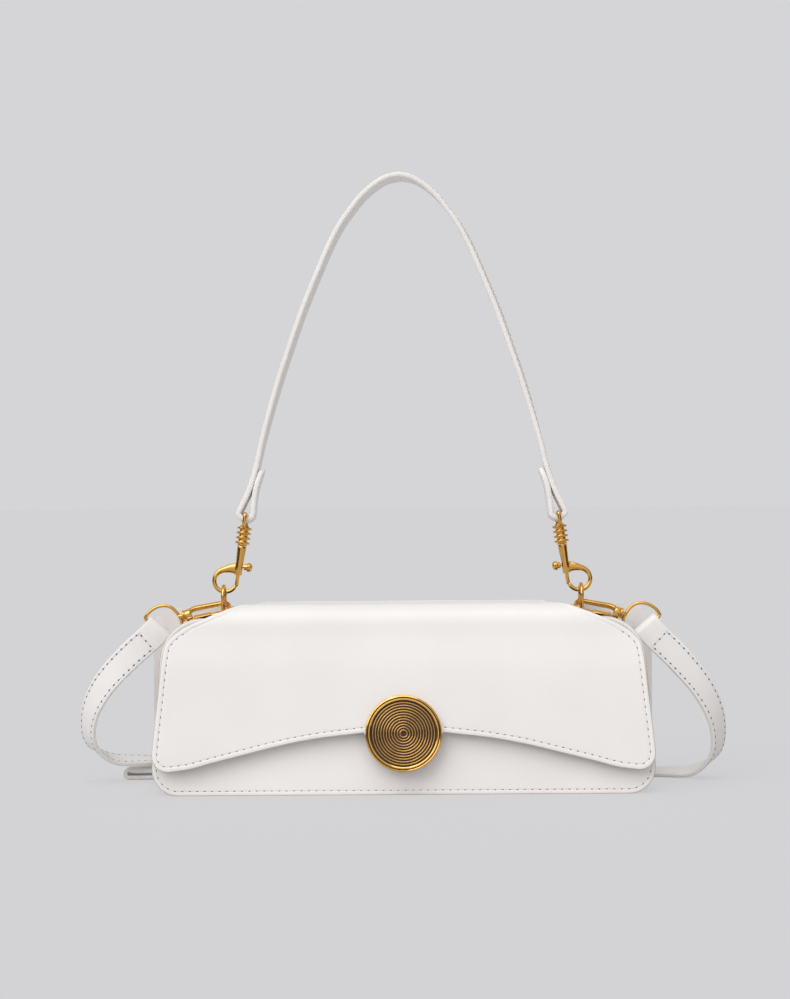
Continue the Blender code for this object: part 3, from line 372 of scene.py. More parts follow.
def between(low, high, share):
    return low + (high - low) * share


def steps(low, high, parts, first=0, last=None):
    # Even steps from low to high, cut in parts, from the first to the last one asked for
    stop = parts if last is None else last
    return [between(low, high, step / parts) for step in range(first, stop + 1)]


def clamped(share):
    return min(1, max(0, share))


def curveThrough(points, each=6, closed=False):
    # A smooth curve through points that hold any number of values
    count = len(points)
    result = []
    for index in range(count if closed else count - 1):
        if closed:
            four = [points[(index + step) % count] for step in (-1, 0, 1, 2)]
        else:
            four = [points[max(0, min(index + step, count - 1))] for step in (-1, 0, 1, 2)]
        for step in range(each):
            t = step / each
            result.append(tuple(
                (2 * b + (c - a) * t + (2 * a - 5 * b + 4 * c - d) * t * t
                 + (3 * b - a - 3 * c + d) * t ** 3) / 2 for a, b, c, d in zip(*four)))
    if not closed:
        result.append(tuple(points[-1]))
    return result


def arcPoints(centre, radius, start, end, parts):
    angles = [math.radians(angle) for angle in steps(start, end, parts)]
    return [(centre[0] + radius * math.cos(a), centre[1] + radius * math.sin(a)) for a in angles]


def softCorners(points, radii, parts=8):
    # Rounds the corners of a closed outline, each by its own radius
    outline = []
    count = len(points)
    for index in range(count):
        corner = Vector(points[index])
        if radii[index] == 0:
            outline.append(tuple(corner))
            continue
        before = (Vector(points[index - 1]) - corner).normalized()
        after = (Vector(points[(index + 1) % count]) - corner).normalized()
        angle = before.angle(after)
        cut = radii[index] / math.tan(angle / 2)
        middle = (before + after).normalized()
        centre = corner + middle * radii[index] / math.sin(angle / 2)
        first = corner + before * cut - centre
        last = corner + after * cut - centre
        turn = math.atan2(first.x * last.y - first.y * last.x, first.dot(last))
        for t in steps(0, turn, parts):
            outline.append((
                centre.x + first.x * math.cos(t) - first.y * math.sin(t),
                centre.y + first.x * math.sin(t) + first.y * math.cos(t)))
    return outline


def softRectangle(low, high, radii, parts=8):
    # A rectangle from its low corner to its high one, its corners rounded from the low left on
    corners = [low, (high[0], low[1]), high, (low[0], high[1])]
    return softCorners(corners, radii, parts)


def framesAlong(points, closed=False, across=None):
    # Each point with its way along, across and out, without needless twist
    count = len(points)
    frames = []
    lastAcross = None
    lastAlong = None
    for index, point in enumerate(points):
        before = points[index - 1] if closed or index else point
        after = points[(index + 1) % count] if closed or index < count - 1 else point
        along = (after - before).normalized()
        if across:
            side = across[index]
        elif lastAcross is None:
            side = along.orthogonal()
        else:
            side = lastAlong.rotation_difference(along) @ lastAcross
        side = (side - along * side.dot(along)).normalized()
        frames.append([point, along, side, along.cross(side)])
        lastAcross = side
        lastAlong = along
    if closed and not across:
        final = lastAlong.rotation_difference(frames[0][1]) @ lastAcross
        twist = -math.atan2(final.dot(frames[0][3]), final.dot(frames[0][2]))
        for index, item in enumerate(frames):
            turn = Matrix.Rotation(twist * index / count, 3, item[1])
            item[2] = turn @ item[2]
            item[3] = item[1].cross(item[2])
    return frames


def skin(name, rows, capped=True):
    # A body through closed rows of points, its first and last row filled
    wide = len(rows[0])
    clearSelection()
    bpy.ops.mesh.primitive_grid_add(x_subdivisions=wide, y_subdivisions=len(rows) - 1)
    piece = bpy.context.object
    piece.name = name
    for vertex in piece.data.vertices:
        row, column = divmod(vertex.index, wide + 1)
        vertex.co = rows[row][column % wide]
    editAll(piece)
    bpy.ops.mesh.remove_doubles(threshold=0.0000001)
    if capped:
        bpy.ops.mesh.fill_holes(sides=0)
    turnOutwards(piece)
    return piece


def sweep(name, frames, sections, closed=False):
    # A section carried along frames; sections holds one outline for each frame
    rows = []
    for (point, along, side, out), section in zip(frames, sections):
        rows.append([point + side * x + out * y for x, y in section])
    return skin(name, rows + rows[:1] if closed else rows, not closed)


def roundSection(radius, sides, flat):
    angles = [math.tau * step / sides for step in range(sides)]
    return [(radius * math.cos(angle), radius * flat * math.sin(angle)) for angle in angles]


def softSection(width, thickness, radius):
    half = (width / 2, thickness / 2)
    return softRectangle((-half[0], -half[1]), half, [radius] * 4, 5)


def rod(name, points, radii, closed, sides, across=None, flat=1.0, tips=(True, True)):
    # A bent bar, of one radius or of one for each point, with rounded tips where asked for
    count = len(points)
    radii = list(radii) if isinstance(radii, list) else [radii] * count
    flats = list(flat) if isinstance(flat, list) else [flat] * count
    frames = framesAlong(points, closed, across)
    for first, rounded, way in ((0, tips[0], -1), (-1, tips[1], 1)):
        point, along, side, out = frames[first]
        radius = radii[first]
        for angle in (30, 55, 75, 86) if rounded and not closed else ():
            turn = math.radians(angle)
            cap = [point + along * way * radius * math.sin(turn), along, side, out]
            place = 0 if way < 0 else len(frames)
            frames.insert(place, cap)
            radii.insert(place, radius * math.cos(turn))
            flats.insert(place, flats[first])
    sections = [roundSection(radius, sides, share) for radius, share in zip(radii, flats)]
    return sweep(name, frames, sections, closed)


def moved(piece, place, *axes):
    # Turns a mesh to three ways and sets it down at a place
    turn = Matrix(axes).transposed().to_4x4()
    piece.data.transform(Matrix.Translation(place) @ turn)
    return piece


def turned(name, profile, base, axis, sides, bevel=0):
    # Spins a closed profile of (radius, height) round an axis and softens its edges
    clearSelection()
    bpy.ops.mesh.primitive_circle_add(vertices=len(profile), radius=1)
    piece = bpy.context.object
    piece.name = name
    for vertex, (radius, height) in zip(piece.data.vertices, profile):
        vertex.co = (radius, 0, height)
    editAll(piece)
    bpy.ops.mesh.spin(steps=sides, angle=math.tau, center=(0, 0, 0), axis=(0, 0, 1))
    bpy.ops.mesh.select_all(action="SELECT")
    bpy.ops.mesh.remove_doubles(threshold=0.000001)
    bpy.ops.mesh.delete_loose(use_faces=False)
    turnOutwards(piece)
    if bevel:
        soften(piece, bevel)
    turn = axis.to_track_quat("Z", "X").to_matrix().to_4x4()
    piece.data.transform(Matrix.Translation(base) @ turn)
    return piece


def soften(piece, width, segments=2):
    applied(
        piece, "BEVEL", width=width, segments=segments, limit_method="ANGLE",
        angle_limit=math.radians(35), use_clamp_overlap=True)


def fuse(piece, tool, operation="UNION"):
    applied(piece, "BOOLEAN", operation=operation, object=tool, solver="EXACT")
    bpy.data.objects.remove(tool)
    return piece


def block(name, middle, axes, sizes, rounding=0):
    clearSelection()
    bpy.ops.mesh.primitive_cube_add(size=1)
    piece = bpy.context.object
    piece.name = name
    piece.data.transform(Matrix.Diagonal((*sizes, 1)))
    if rounding:
        soften(piece, rounding, 3)
    return moved(piece, middle, *axes)


def joined(name, pieces):
    clearSelection()
    for piece in pieces:
        piece.select_set(True)
    bpy.context.view_layer.objects.active = pieces[0]
    bpy.ops.object.join()
    pieces[0].name = name
    return pieces[0]


def settle(piece, body, slotName, replaced=(), angle=38):
    # Gives a finished piece its look, its body and the node that it stands for
    activate(piece)
    bpy.ops.object.transform_apply(location=True, rotation=True, scale=True)
    bpy.ops.object.shade_smooth_by_angle(angle=math.radians(angle))
    if not piece.data.materials:
        piece.data.materials.append(finishOfSlot[slotName])
    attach(piece, body)
    if replaced:
        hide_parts(*replaced)


def spaced(points, pitch):
    # Points at even steps along a line, each with the way along it
    lengths = [0]
    for first, second in zip(points, points[1:]):
        lengths.append(lengths[-1] + (second - first).length)
    count = max(1, round(lengths[-1] / pitch))
    result = []
    index = 0
    for reach in steps(0, lengths[-1], count):
        while index < len(points) - 2 and lengths[index + 1] < reach:
            index += 1
        share = (reach - lengths[index]) / (lengths[index + 1] - lengths[index])
        along = (points[index + 1] - points[index]).normalized()
        result.append((points[index].lerp(points[index + 1], share), along))
    return result


# A thread's and a needle hole's length, width and height, and how far they are lifted; the needle hole
# is a dark mark of painted shade
sewing = {
    "threadSize": (0.0025, 0.00056, 0.00040),
    "threadLift": 0.00004,
    "holeSize": (0.0015, 0.00088, 0.00034),
    "holeLift": 0.00001,
}


def stitchShape(name, size, look):
    clearSelection()
    bpy.ops.mesh.primitive_uv_sphere_add(segments=6, ring_count=5, radius=0.5)
    shape = bpy.context.object
    shape.name = name
    turn = Matrix.Rotation(math.radians(90), 4, "Y")
    shape.data.transform(Matrix.Diagonal((*size, 1)) @ turn)
    shape.data.materials.append(look)
    return shape


def sew(name, lines, body, pitch, slotName="leather"):
    # Threads with dark marks of painted shade for the needle holes between them, along lines of
    # (points, outward way)
    kinds = (
        (stitchShape("threadShape", sewing["threadSize"], thread), 0, sewing["threadLift"]),
        (stitchShape("holeShadeShape", sewing["holeSize"], needleHoleShade), 1, sewing["holeLift"]))
    made = []
    for points, outward in lines:
        fine = spaced(points, pitch / 2)
        for shape, first, lift in kinds:
            for place, along in fine[first::2]:
                out = outward(place) if callable(outward) else outward
                side = out.cross(along).normalized()
                out = along.cross(side).normalized()
                copy = shape.copy()
                copy.data = shape.data.copy()
                moved(copy, place + out * lift, along, side, out)
                scene.collection.objects.link(copy)
                made.append(copy)
    for shape, first, lift in kinds:
        bpy.data.objects.remove(shape)
    settle(joined(name, made), body, slotName, angle=60)


# The bag body, in the sizes that the frame is built to

bag = {
    "frontWidth": 0.280,
    "frontTopWidth": 0.268,
    "frontHeight": 0.097,
    "backWidth": 0.288,
    "baseDepth": 0.060,
    "topDepth": 0.043,
    "lowerCorner": 0.015,
    "upperCorner": 0.013,
    "panel": 0.0015,
    "gap": 0.0003,
}
lean = math.atan((bag["baseDepth"] - bag["topDepth"]) / bag["frontHeight"])
frontY = -bag["baseDepth"] / 2
backY = bag["baseDepth"] / 2
faceUp = Vector((0, math.sin(lean), math.cos(lean)))
faceOut = Vector((0, -math.cos(lean), math.sin(lean)))


def onFace(x, up, out):
    return Vector((x, frontY, 0)) + faceUp * up + faceOut * out


sharpestTurn = 0.4  # Limits how far a sharp corner is drawn in


def insetLine(outline, inset):
    # The same closed outline drawn in by an even distance
    count = len(outline)
    result = []
    for index in range(count):
        point = Vector(outline[index])
        before = (point - Vector(outline[index - 1])).normalized()
        after = (Vector(outline[(index + 1) % count]) - point).normalized()
        way = (before + after).normalized()
        inward = Vector((-way.y, way.x))
        result.append(tuple(point + inward * inset / max(sharpestTurn, way.dot(before))))
    return result


def openSeam(outline, inset, top):
    # The stitch line of a panel that is left open along its top, from one end to the other
    line = [point for point in insetLine(outline, inset) if point[1] < top]
    start = min(range(len(line)), key=lambda index: (line[index][0] > 0, -line[index][1]))
    return line[start:] + line[:start]


# The brown cut edge band reaches into the rounding so that its painted shadow line shows from the front
edgePaintAndShadowShare = 0.75  # How much of the rounding's second ring still counts as the cut edge
hair = 0.000001  # Heights that differ by less are the same


def cutPanel(name, outline, thickness, edgeLayers, columns, rows, place, painted=True):
    # A cut of leather: its edge is rounded and pressed in rings, then it is bent to its place
    rings = [(0, 0), (0, thickness)]
    for inset, rise in edgeLayers:
        rings.append((rings[-1][0] + inset, rings[-1][1] + rise))
    panel = skin(name, [[(x, y, rise) for x, y in insetLine(outline, inset)] for inset, rise in rings])
    editAll(panel)
    cuts = [((x, 0, 0), (1, 0, 0)) for x in columns] + [((0, y, 0), (0, 1, 0)) for y in rows]
    for spot, way in cuts:
        bpy.ops.mesh.select_all(action="SELECT")
        bpy.ops.mesh.bisect(plane_co=spot, plane_no=way)
    bpy.ops.object.mode_set(mode="OBJECT")
    # Faces of the cut edge band take the brown that is partly edge paint and partly a painted shadow
    # line
    edgeHigh = thickness + edgeLayers[0][1] + edgeLayers[1][1] * edgePaintAndShadowShare
    edges = [1 if hair < face.center.z < edgeHigh - hair else 0 for face in panel.data.polygons]
    for vertex in panel.data.vertices:
        vertex.co = place(*vertex.co)
    turnOutwards(panel)
    if painted:
        panel.data.materials.append(leather)
        panel.data.materials.append(cutEdgeAndShadowLine)
        for face, edge in zip(panel.data.polygons, edges):
            face.material_index = edge
    return panel


def trapezoid(low, high, top, lowCorner, highCorner):
    points = [(-low, 0), (low, 0), (high, top), (-high, top)]
    return softCorners(points, [lowCorner, lowCorner, highCorner, highCorner], 16)


frontPanel = {
    "edgeLayers": (
        (0.00012, 0.00030), (0.00030, 0.00012), (0.0008, 0.00010), (0.0009, -0.00002),
        (0.00035, -0.00020), (0.00035, 0.00018), (0.0006, 0.00003)),
    "edgeRounding": 0.00042,
    "upperCorner": 0.0240,
    "stitchInset": 0.00265,
    "stitchPitch": 0.0041,
    "stitchEnd": 0.0060,
    "stitchSink": 0.0001,
    "faceFrom": 0.0002,
    "bulge": 0.0004,
    "unevenness": 0.00012,
}
upTop = bag["frontHeight"] / math.cos(lean)


unevenness = {"perMetreAcross": 22, "perMetreUp": 30, "slice": 3.1}


def softness(x, y, reach):
    # Slow unevenness of stuffed and glued leather
    spot = (x * unevenness["perMetreAcross"], y * unevenness["perMetreUp"], unevenness["slice"])
    return noise.noise(Vector(spot)) * reach


def addFrontPanel():
    half = bag["frontWidth"] / 2
    outline = trapezoid(
        half, bag["frontTopWidth"] / 2, upTop, bag["lowerCorner"], frontPanel["upperCorner"])
    thickness = bag["panel"] - frontPanel["edgeRounding"]

    def place(x, up, out):
        middle = max(0, 1 - (x / half) ** 2) * math.sin(math.pi * clamped(up / upTop))
        uneven = softness(x, up, frontPanel["unevenness"]) * min(1, middle * 4)
        lift = frontPanel["bulge"] * middle + uneven
        front = out > thickness + frontPanel["faceFrom"]
        return onFace(x, up, out - bag["panel"] + (lift if front else 0))

    panel = cutPanel(
        "frontPanelLeather", outline, thickness, frontPanel["edgeLayers"],
        steps(-half, half, 20, 1, 19), steps(0, upTop, 8, 1, 7), place)
    settle(panel, "root", "leather", ["front_panel"])
    line = openSeam(outline, frontPanel["stitchInset"], upTop - frontPanel["stitchEnd"])
    points = [place(x, up, bag["panel"] - frontPanel["stitchSink"]) for x, up in line]
    sew("frontStitches", [(points, faceOut)], "root", frontPanel["stitchPitch"])


def addBackPanel():
    half = bag["backWidth"] / 2
    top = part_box("back_panel")[1].z
    outline = trapezoid(half, half, top, bag["lowerCorner"], bag["upperCorner"])

    def place(x, up, out):
        return Vector((-x, backY - bag["panel"] + out, up))

    panel = cutPanel(
        "backPanelLeather", outline, bag["panel"] - frontPanel["edgeRounding"],
        frontPanel["edgeLayers"], steps(-half, half, 16, 1, 15), steps(0, top, 6, 1, 5), place)
    settle(panel, "root", "leather", ["back_panel"])
    line = insetLine(outline, frontPanel["stitchInset"])
    seat = bag["panel"] - frontPanel["stitchSink"]
    points = [place(*spot, seat) for spot in line + line[:1]]
    sew("backStitches", [(points, Vector((0, 1, 0)))], "root", frontPanel["stitchPitch"])


gusset = {
    "thickness": 0.0012,
    "fold": 0.0400,
    "foldLeast": 0.0015,
    "foldFullHeight": 0.0842,
    "foldFlat": 0.00585,
    "tipY": 0.0140,
    "top": 0.0925,
    "frontShares": (0, 0.03, 0.2, 0.4, 0.6, 0.8, 0.95),
    "flatShares": (0.12, 0.5, 0.88),
    "backShares": (0.05, 0.2, 0.4, 0.6, 0.8, 0.97, 1),
}


def sideSection(height, inset):
    # The side's middle line at a height: front edge, the flat bottom of its fold, back edge
    corner = bag["lowerCorner"]
    share = clamped((height - corner) / (gusset["foldFullHeight"] - corner))
    fold = between(gusset["foldLeast"], gusset["fold"], share)
    flat = between(gusset["foldFlat"] / 2, gusset["foldFlat"], share)
    tipY = gusset["tipY"] * share
    frontHalf = between(bag["frontWidth"], bag["frontTopWidth"], height / bag["frontHeight"]) / 2
    pull = 0
    if height < corner:
        radius = corner - inset
        pull = radius - math.sqrt(max(radius ** 2 - (corner - height) ** 2, 0))
    draw = gusset["thickness"] / 2 + pull
    front = Vector((frontHalf - draw, frontY + height * math.tan(lean)))
    back = Vector((bag["backWidth"] / 2 - draw, backY))
    tipX = (front.x + back.x) / 2 - fold
    return [front, Vector((tipX, tipY - flat)), Vector((tipX, tipY + flat)), back]


def sloped(height, share):
    # A height on the side, lowered towards the front, where the panel's corner rounds off
    climb = max(0, height - bag["lowerCorner"]) / (gusset["top"] - bag["lowerCorner"])
    fall = gusset["top"] - bag["frontHeight"] + frontPanel["upperCorner"]
    return height - fall * climb * share


def sheetFromRows(name, rows, thickness):
    # A thin sheet through rows of points, rounded and thickened
    clearSelection()
    wide = len(rows[0])
    bpy.ops.mesh.primitive_grid_add(x_subdivisions=wide - 1, y_subdivisions=len(rows) - 1)
    sheet = bpy.context.object
    sheet.name = name
    for vertex in sheet.data.vertices:
        row, column = divmod(vertex.index, wide)
        vertex.co = rows[row][column]
    applied(sheet, "SUBSURF", levels=1, render_levels=1)
    applied(sheet, "SOLIDIFY", thickness=thickness, offset=0)
    turnOutwards(sheet)
    return sheet


def addSides():
    half = gusset["thickness"] / 2
    edge = bag["panel"] + bag["gap"] + half
    corner = bag["lowerCorner"]
    angles = [math.radians(angle) for angle in steps(0, 90, 6, 1)]
    heights = [half] + [corner - (corner - half) * math.cos(angle) for angle in angles]
    heights += steps(corner, gusset["top"], 14, 1)
    for name, way in (("left", -1), ("right", 1)):
        rows = []
        for height in heights:
            row = []
            for share in gusset["frontShares"]:
                level = sloped(height, 1 - share)
                front, tipFront, tipBack, back = sideSection(level, half)
                front = front.lerp(tipFront, edge / (tipFront.y - front.y))
                row.append((front.lerp(tipFront, share), level))
            front, tipFront, tipBack, back = sideSection(height, half)
            back = back.lerp(tipBack, edge / (back.y - tipBack.y))
            row += [(tipFront.lerp(tipBack, share), height) for share in gusset["flatShares"]]
            row += [(tipBack.lerp(back, share), height) for share in gusset["backShares"]]
            rows.append([Vector((way * spot.x, spot.y, level)) for spot, level in row])
        sheet = sheetFromRows(name + "SideLeather", rows, gusset["thickness"])
        settle(sheet, "root", "leather", [name + "_gusset"])


basePanel = {"corner": 0.0012, "rounding": 0.0003, "edgeRing": 0.0006}


def addBase():
    low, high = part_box("base_panel")
    outline = softRectangle(low[:2], high[:2], [basePanel["corner"]] * 4, 4)
    rounding = basePanel["rounding"]

    def place(x, y, out):
        return Vector((x, -y + low.y + high.y, high.z - out))

    base = cutPanel(
        "baseLeather", outline, high.z - low.z - rounding,
        ((rounding, rounding), (basePanel["edgeRing"], 0)), steps(low.x, high.x, 4, 1, 3), [0], place)
    settle(base, "root", "leather", ["base_panel"])


addFrontPanel()
addBackPanel()
addSides()
addBase()
print("the body's leather is done")


# Flap

flap = {
    "leather": 0.0013,
    "lining": 0.0007,
    "hingeHalf": 0.0820,
    "half": 0.13925,
    "top": 0.1040,
    "shoulderRadius": 0.013,
    "lowerEdge": 0.0120,
    "archEdge": 0.0345,
    "cornerRadius": 0.009,
    "tabRadius": 0.0193,
    "liningInset": 0.0012,
    "liningStart": 0.0060,
    "liningClear": 0.0005,
    "liningEdge": 0.0002,
    "liningRing": 0.0008,
    "stand": 0.00585,
    "discHeight": 0.0325,
    "stitchInset": 0.0029,
    "stitchPitch": 0.0041,
    "stitchSink": 0.0002,
    "stitchFromTab": 0.0215,
    "stitchFromShare": 0.41,
    "edgeLayers": (
        (0.00010, 0.00034), (0.00024, 0.00022), (0.00050, 0.00014), (0.0008, 0.00004),
        (0.00085, -0.00006), (0.00040, -0.00026), (0.00040, 0.00018), (0.0007, 0.00002)),
    "edgeRounding": 0.00056,
    "faceFrom": 0.0003,
    "unevenness": 0.00022,
    "easeReach": 0.026,
    "easeDepth": 0.0018,
    "beadRounding": 0.0003,
}
flapHalfStack = (flap["leather"] + bag["gap"] + flap["lining"]) / 2
hingeY = backY - flapHalfStack
hingeZ = flap["top"] - flapHalfStack
shoulderZ = hingeZ - flap["shoulderRadius"]
shoulderY = frontY - (
    flap["stand"] - flap["shoulderRadius"] - shoulderZ * math.sin(lean)) / math.cos(lean)
topRun = hingeY - shoulderY
shoulderEnd = topRun + flap["shoulderRadius"] * (math.radians(90) - lean)
shoulderUp = (shoulderY - frontY) * math.sin(lean) + shoulderZ * math.cos(lean)
discUp = flap["discHeight"] / math.cos(lean)

# Shares of the flap's run and of its half width down its side edge, and shares of its half
# width and of the rise of its lower edge towards the middle
sideShares = (
    (0.178, 0.596), (0.250, 0.632), (0.310, 0.704), (0.355, 0.790), (0.400, 0.876),
    (0.445, 0.930), (0.500, 0.955), (0.700, 0.975), (0.880, 0.992))
archShares = (
    (0.840, 0.140), (0.761, 0.270), (0.625, 0.480), (0.485, 0.690), (0.345, 0.850),
    (0.208, 0.950), (0.158, 0.985))
hingeStraightShare = 0.09


def foldEase(run):
    # How far the soft fold lies inside its round, and fades into the flap below it
    rising = clamped((run - topRun) / (shoulderEnd - topRun))
    falling = clamped((run - shoulderEnd) / flap["easeReach"])
    return flap["easeDepth"] * rising ** 2 * (3 - 2 * rising) * (1 - falling) ** 2 * (1 + 2 * falling)


def onFlap(x, run, out):
    out -= foldEase(run)
    if run <= topRun:
        return Vector((x, hingeY - run, hingeZ + out))
    if run <= shoulderEnd:
        angle = (run - topRun) / flap["shoulderRadius"]
        reach = flap["shoulderRadius"] + out
        return Vector((x, shoulderY - reach * math.sin(angle), shoulderZ + reach * math.cos(angle)))
    return onFace(x, shoulderUp - (run - shoulderEnd), flap["stand"] + out)


def runAt(height):
    up = (height - flap["stand"] * math.sin(lean)) / math.cos(lean)
    return shoulderEnd + shoulderUp - up


flapRun = runAt(flap["lowerEdge"])


def flapOutline():
    half = flap["half"]
    edge = [(flap["hingeHalf"], 0), (flap["hingeHalf"], flapRun * hingeStraightShare)]
    edge += [(half * wide, flapRun * run) for run, wide in sideShares]
    edge = curveThrough(edge, 5)
    rise = flap["archEdge"] - flap["lowerEdge"]
    lower = [(half * wide, runAt(flap["lowerEdge"] + rise * up)) for wide, up in archShares]
    corner = softCorners([edge[-1], (half, flapRun), lower[0]], [0, flap["cornerRadius"], 0], 12)[1:-1]
    lower = curveThrough([corner[-1]] + lower, 5)[1:]
    centre = (0, shoulderEnd + shoulderUp - discUp)
    tab = arcPoints(centre, flap["tabRadius"], 18, 90, 12)
    right = edge + corner + lower + tab
    left = [(-x, run) for x, run in reversed(right[:-1])]
    return right + left


def flapOutward(spot):
    # The way out from the flap's surface at a point on it
    if spot.z < shoulderZ + flap["shoulderRadius"] * math.sin(lean):
        return faceOut
    way = Vector((0, spot.y - shoulderY, spot.z - shoulderZ))
    return way.normalized() if spot.y < shoulderY else Vector((0, 0, 1))


def addFlap():
    outline = flapOutline()
    lowest = max(run for x, run in outline)
    half = flap["half"]
    edgeTop = flap["leather"] - flap["edgeRounding"]
    faceTop = edgeTop + sum(rise for inset, rise in flap["edgeLayers"])

    def place(x, run, out):
        spread = max(0, 1 - (x / half) ** 2)
        lift = softness(x, run, flap["unevenness"]) * spread
        front = out > edgeTop + flap["faceFrom"]
        return onFlap(x, run, flapHalfStack - flap["leather"] + out + (lift if front else 0))

    rows = steps(0, topRun, 5, 1, 4) + steps(topRun, shoulderEnd, 14)
    rows += steps(shoulderEnd, shoulderEnd + flap["easeReach"], 8, 1, 7)
    rows += steps(shoulderEnd, lowest, 8, 2, 7)
    sheet = cutPanel(
        "flapLeather", outline, edgeTop, flap["edgeLayers"], steps(-half, half, 24, 1, 23), rows, place)
    hinge = flap["hingeHalf"]
    bead = turned(
        "hingeBead", [(0, -hinge), (flapHalfStack, -hinge), (flapHalfStack, hinge), (0, hinge)],
        Vector((0, hingeY, hingeZ)), Vector((1, 0, 0)), 24, flap["beadRounding"])
    settle(joined("flapLeather", [sheet, bead]), "flap", "leather", ["flap_leather"])

    right = [
        (x, run) for x, run in insetLine(outline, flap["stitchInset"])
        if x > flap["stitchFromTab"] and run > flapRun * flap["stitchFromShare"]]
    lines = []
    for way in (1, -1):
        points = [place(x * way, run, faceTop - flap["stitchSink"]) for x, run in right]
        lines.append((points, flapOutward))
    sew("flapStitches", lines, "flap", flap["stitchPitch"])


def addFlapLining():
    start = flap["liningStart"]
    edge = flap["liningEdge"]
    half = flap["hingeHalf"] - flap["liningInset"]
    line = insetLine(flapOutline(), flap["liningInset"])
    outline = [(half, start)] + [spot for spot in line if spot[1] > start + flap["liningClear"]]
    outline.append((-half, start))

    def place(x, run, out):
        return onFlap(x, run, -flapHalfStack + flap["lining"] - out)

    rows = steps(topRun, shoulderEnd, 10)
    rows += steps(shoulderEnd, shoulderEnd + flap["easeReach"], 4, 1, 3)
    sheet = cutPanel(
        "flapLiningCloth", outline, flap["lining"] - edge, ((edge, edge), (flap["liningRing"], 0)),
        steps(-flap["half"], flap["half"], 12, 1, 11), rows, place, False)
    settle(sheet, "flap", "cloth", ["flap_lining"])


# Gold plate: a raised rim round even rings, with painted shade in the hollows between them and in the
# rim's groove

disc = {
    "radius": 0.0210,
    "thickness": 0.0030,
    "rimWidth": 0.0026,
    "rimGroove": 0.0006,
    "rimGrooveDepth": 0.0005,
    "rimRounding": 0.0003,
    "rimSoftness": 0.0007,
    "fade": 0.0002,
    "ringPitch": 0.00150,
    "hollowShare": 0.48,
    "hollowDepth": 0.00055,
    "fieldStep": 0.0008,
    "bossRadius": 0.0012,
    "bossLeast": 0.5,
    "darkShare": 0.6,
}
# Shares across a ring of the plate from its outer edge, and how far it has dropped there
ringShares = (
    (0, 0.45), (0.10, 0.20), (0.28, 0.05), (0.5, 0), (0.72, 0.05), (0.90, 0.20), (1, 0.45))


def addDisc():
    back = flap["stand"] + flapHalfStack + bag["gap"]
    top = back + disc["thickness"]
    field = top - disc["fieldStep"]
    low = field - disc["hollowDepth"]
    radius = disc["radius"]
    inside = radius - disc["rimWidth"]
    middle = (radius + inside) / 2
    groove = disc["rimGroove"] / 2
    edge, soft, fade = disc["rimRounding"], disc["rimSoftness"], disc["fade"]
    profile = [
        (0, back), (radius - edge, back), (radius, back + edge), (radius, top - soft),
        (radius - edge, top - fade), (radius - soft, top), (middle + groove, top - fade / 2),
        (middle, top - disc["rimGrooveDepth"]), (middle - groove, top - fade / 2),
        (inside + fade * 2, top), (inside, top - fade), (inside, low)]
    reach = inside - edge
    hollow = disc["ringPitch"] * disc["hollowShare"]
    while reach - disc["ringPitch"] > disc["bossRadius"] * disc["bossLeast"]:
        ridge = reach - hollow
        inner = reach - disc["ringPitch"]
        profile += [(reach, low), (ridge, low)]
        for share, drop in ringShares:
            profile.append((between(ridge, inner, share), field - disc["hollowDepth"] * drop))
        reach = inner
    profile += [(reach, low), (0, low)]
    foot = onFace(0, discUp, 0)
    plate = turned("discPlate", profile, foot, faceOut, 128)
    for look in (gold, hollowShade, satinGold):
        plate.data.materials.append(look)
    # Faces low in the hollows and in the rim's groove take the near-black of painted shade
    dark = field - disc["hollowDepth"] * disc["darkShare"]
    for face in plate.data.polygons:
        height = (face.center - foot).dot(faceOut)
        reach = ((face.center - foot) - faceOut * height).length
        grooved = abs(reach - middle) < groove and height < top - fade
        if (reach < inside and height < dark) or grooved:
            face.material_index = 1
        elif reach < inside:
            face.material_index = 2
    settle(plate, "flap", "gold", ["clasp_disc"], 30)


addFlap()
addFlapLining()
addDisc()
print("the flap and its gold plate are done")


# Straps

strapEdge = {"roundShare": 0.36, "facingShare": 0.75, "searched": 3}


def strapSweep(name, path, width, thickness, body, replaced, tipShares=()):
    # A flat strap along (point, across) pairs, with painted edges and drawn-in tips
    frames = framesAlong([point for point, across in path], across=[across for point, across in path])
    sections = []
    last = len(path) - 1
    for index in range(len(path)):
        near = min(index, last - index)
        share = tipShares[near] if near < len(tipShares) else 1
        sections.append(softSection(width * share, thickness, thickness * strapEdge["roundShare"]))
    strap = sweep(name, frames, sections)
    strap.data.materials.append(strapLeather)
    strap.data.materials.append(edgePaint)
    wide = len(sections[0])
    for face in strap.data.polygons:
        if len(face.vertices) > 4:
            face.material_index = 1
            continue
        near = min(face.vertices[0] // (wide + 1), last)
        beside = frames[max(0, near - strapEdge["searched"]):near + strapEdge["searched"] + 1]
        across = min(beside, key=lambda item: (item[0] - face.center).length)[2]
        face.material_index = 1 if abs(face.normal.dot(across)) > strapEdge["facingShare"] else 0
    settle(strap, body, "leather", replaced, 50)
    return frames


def strapRows(frames, strap, face, start, end):
    # Two stitch lines along one face of a strap, between two of its stations
    lines = []
    for way in (1, -1):
        points = []
        outs = []
        for point, along, side, out in frames[start:end]:
            reach = side * way * (strap["width"] / 2 - strap["stitchInset"])
            points.append(point + reach + out * face * strap["thickness"] / 2)
            outs.append(out * face)
        lines.append((points, nearestWay(points, outs)))
    return lines


def nearestWay(points, outs):
    def outward(spot):
        nearest = min(range(len(points)), key=lambda index: (points[index] - spot).length_squared)
        return outs[nearest]
    return outward


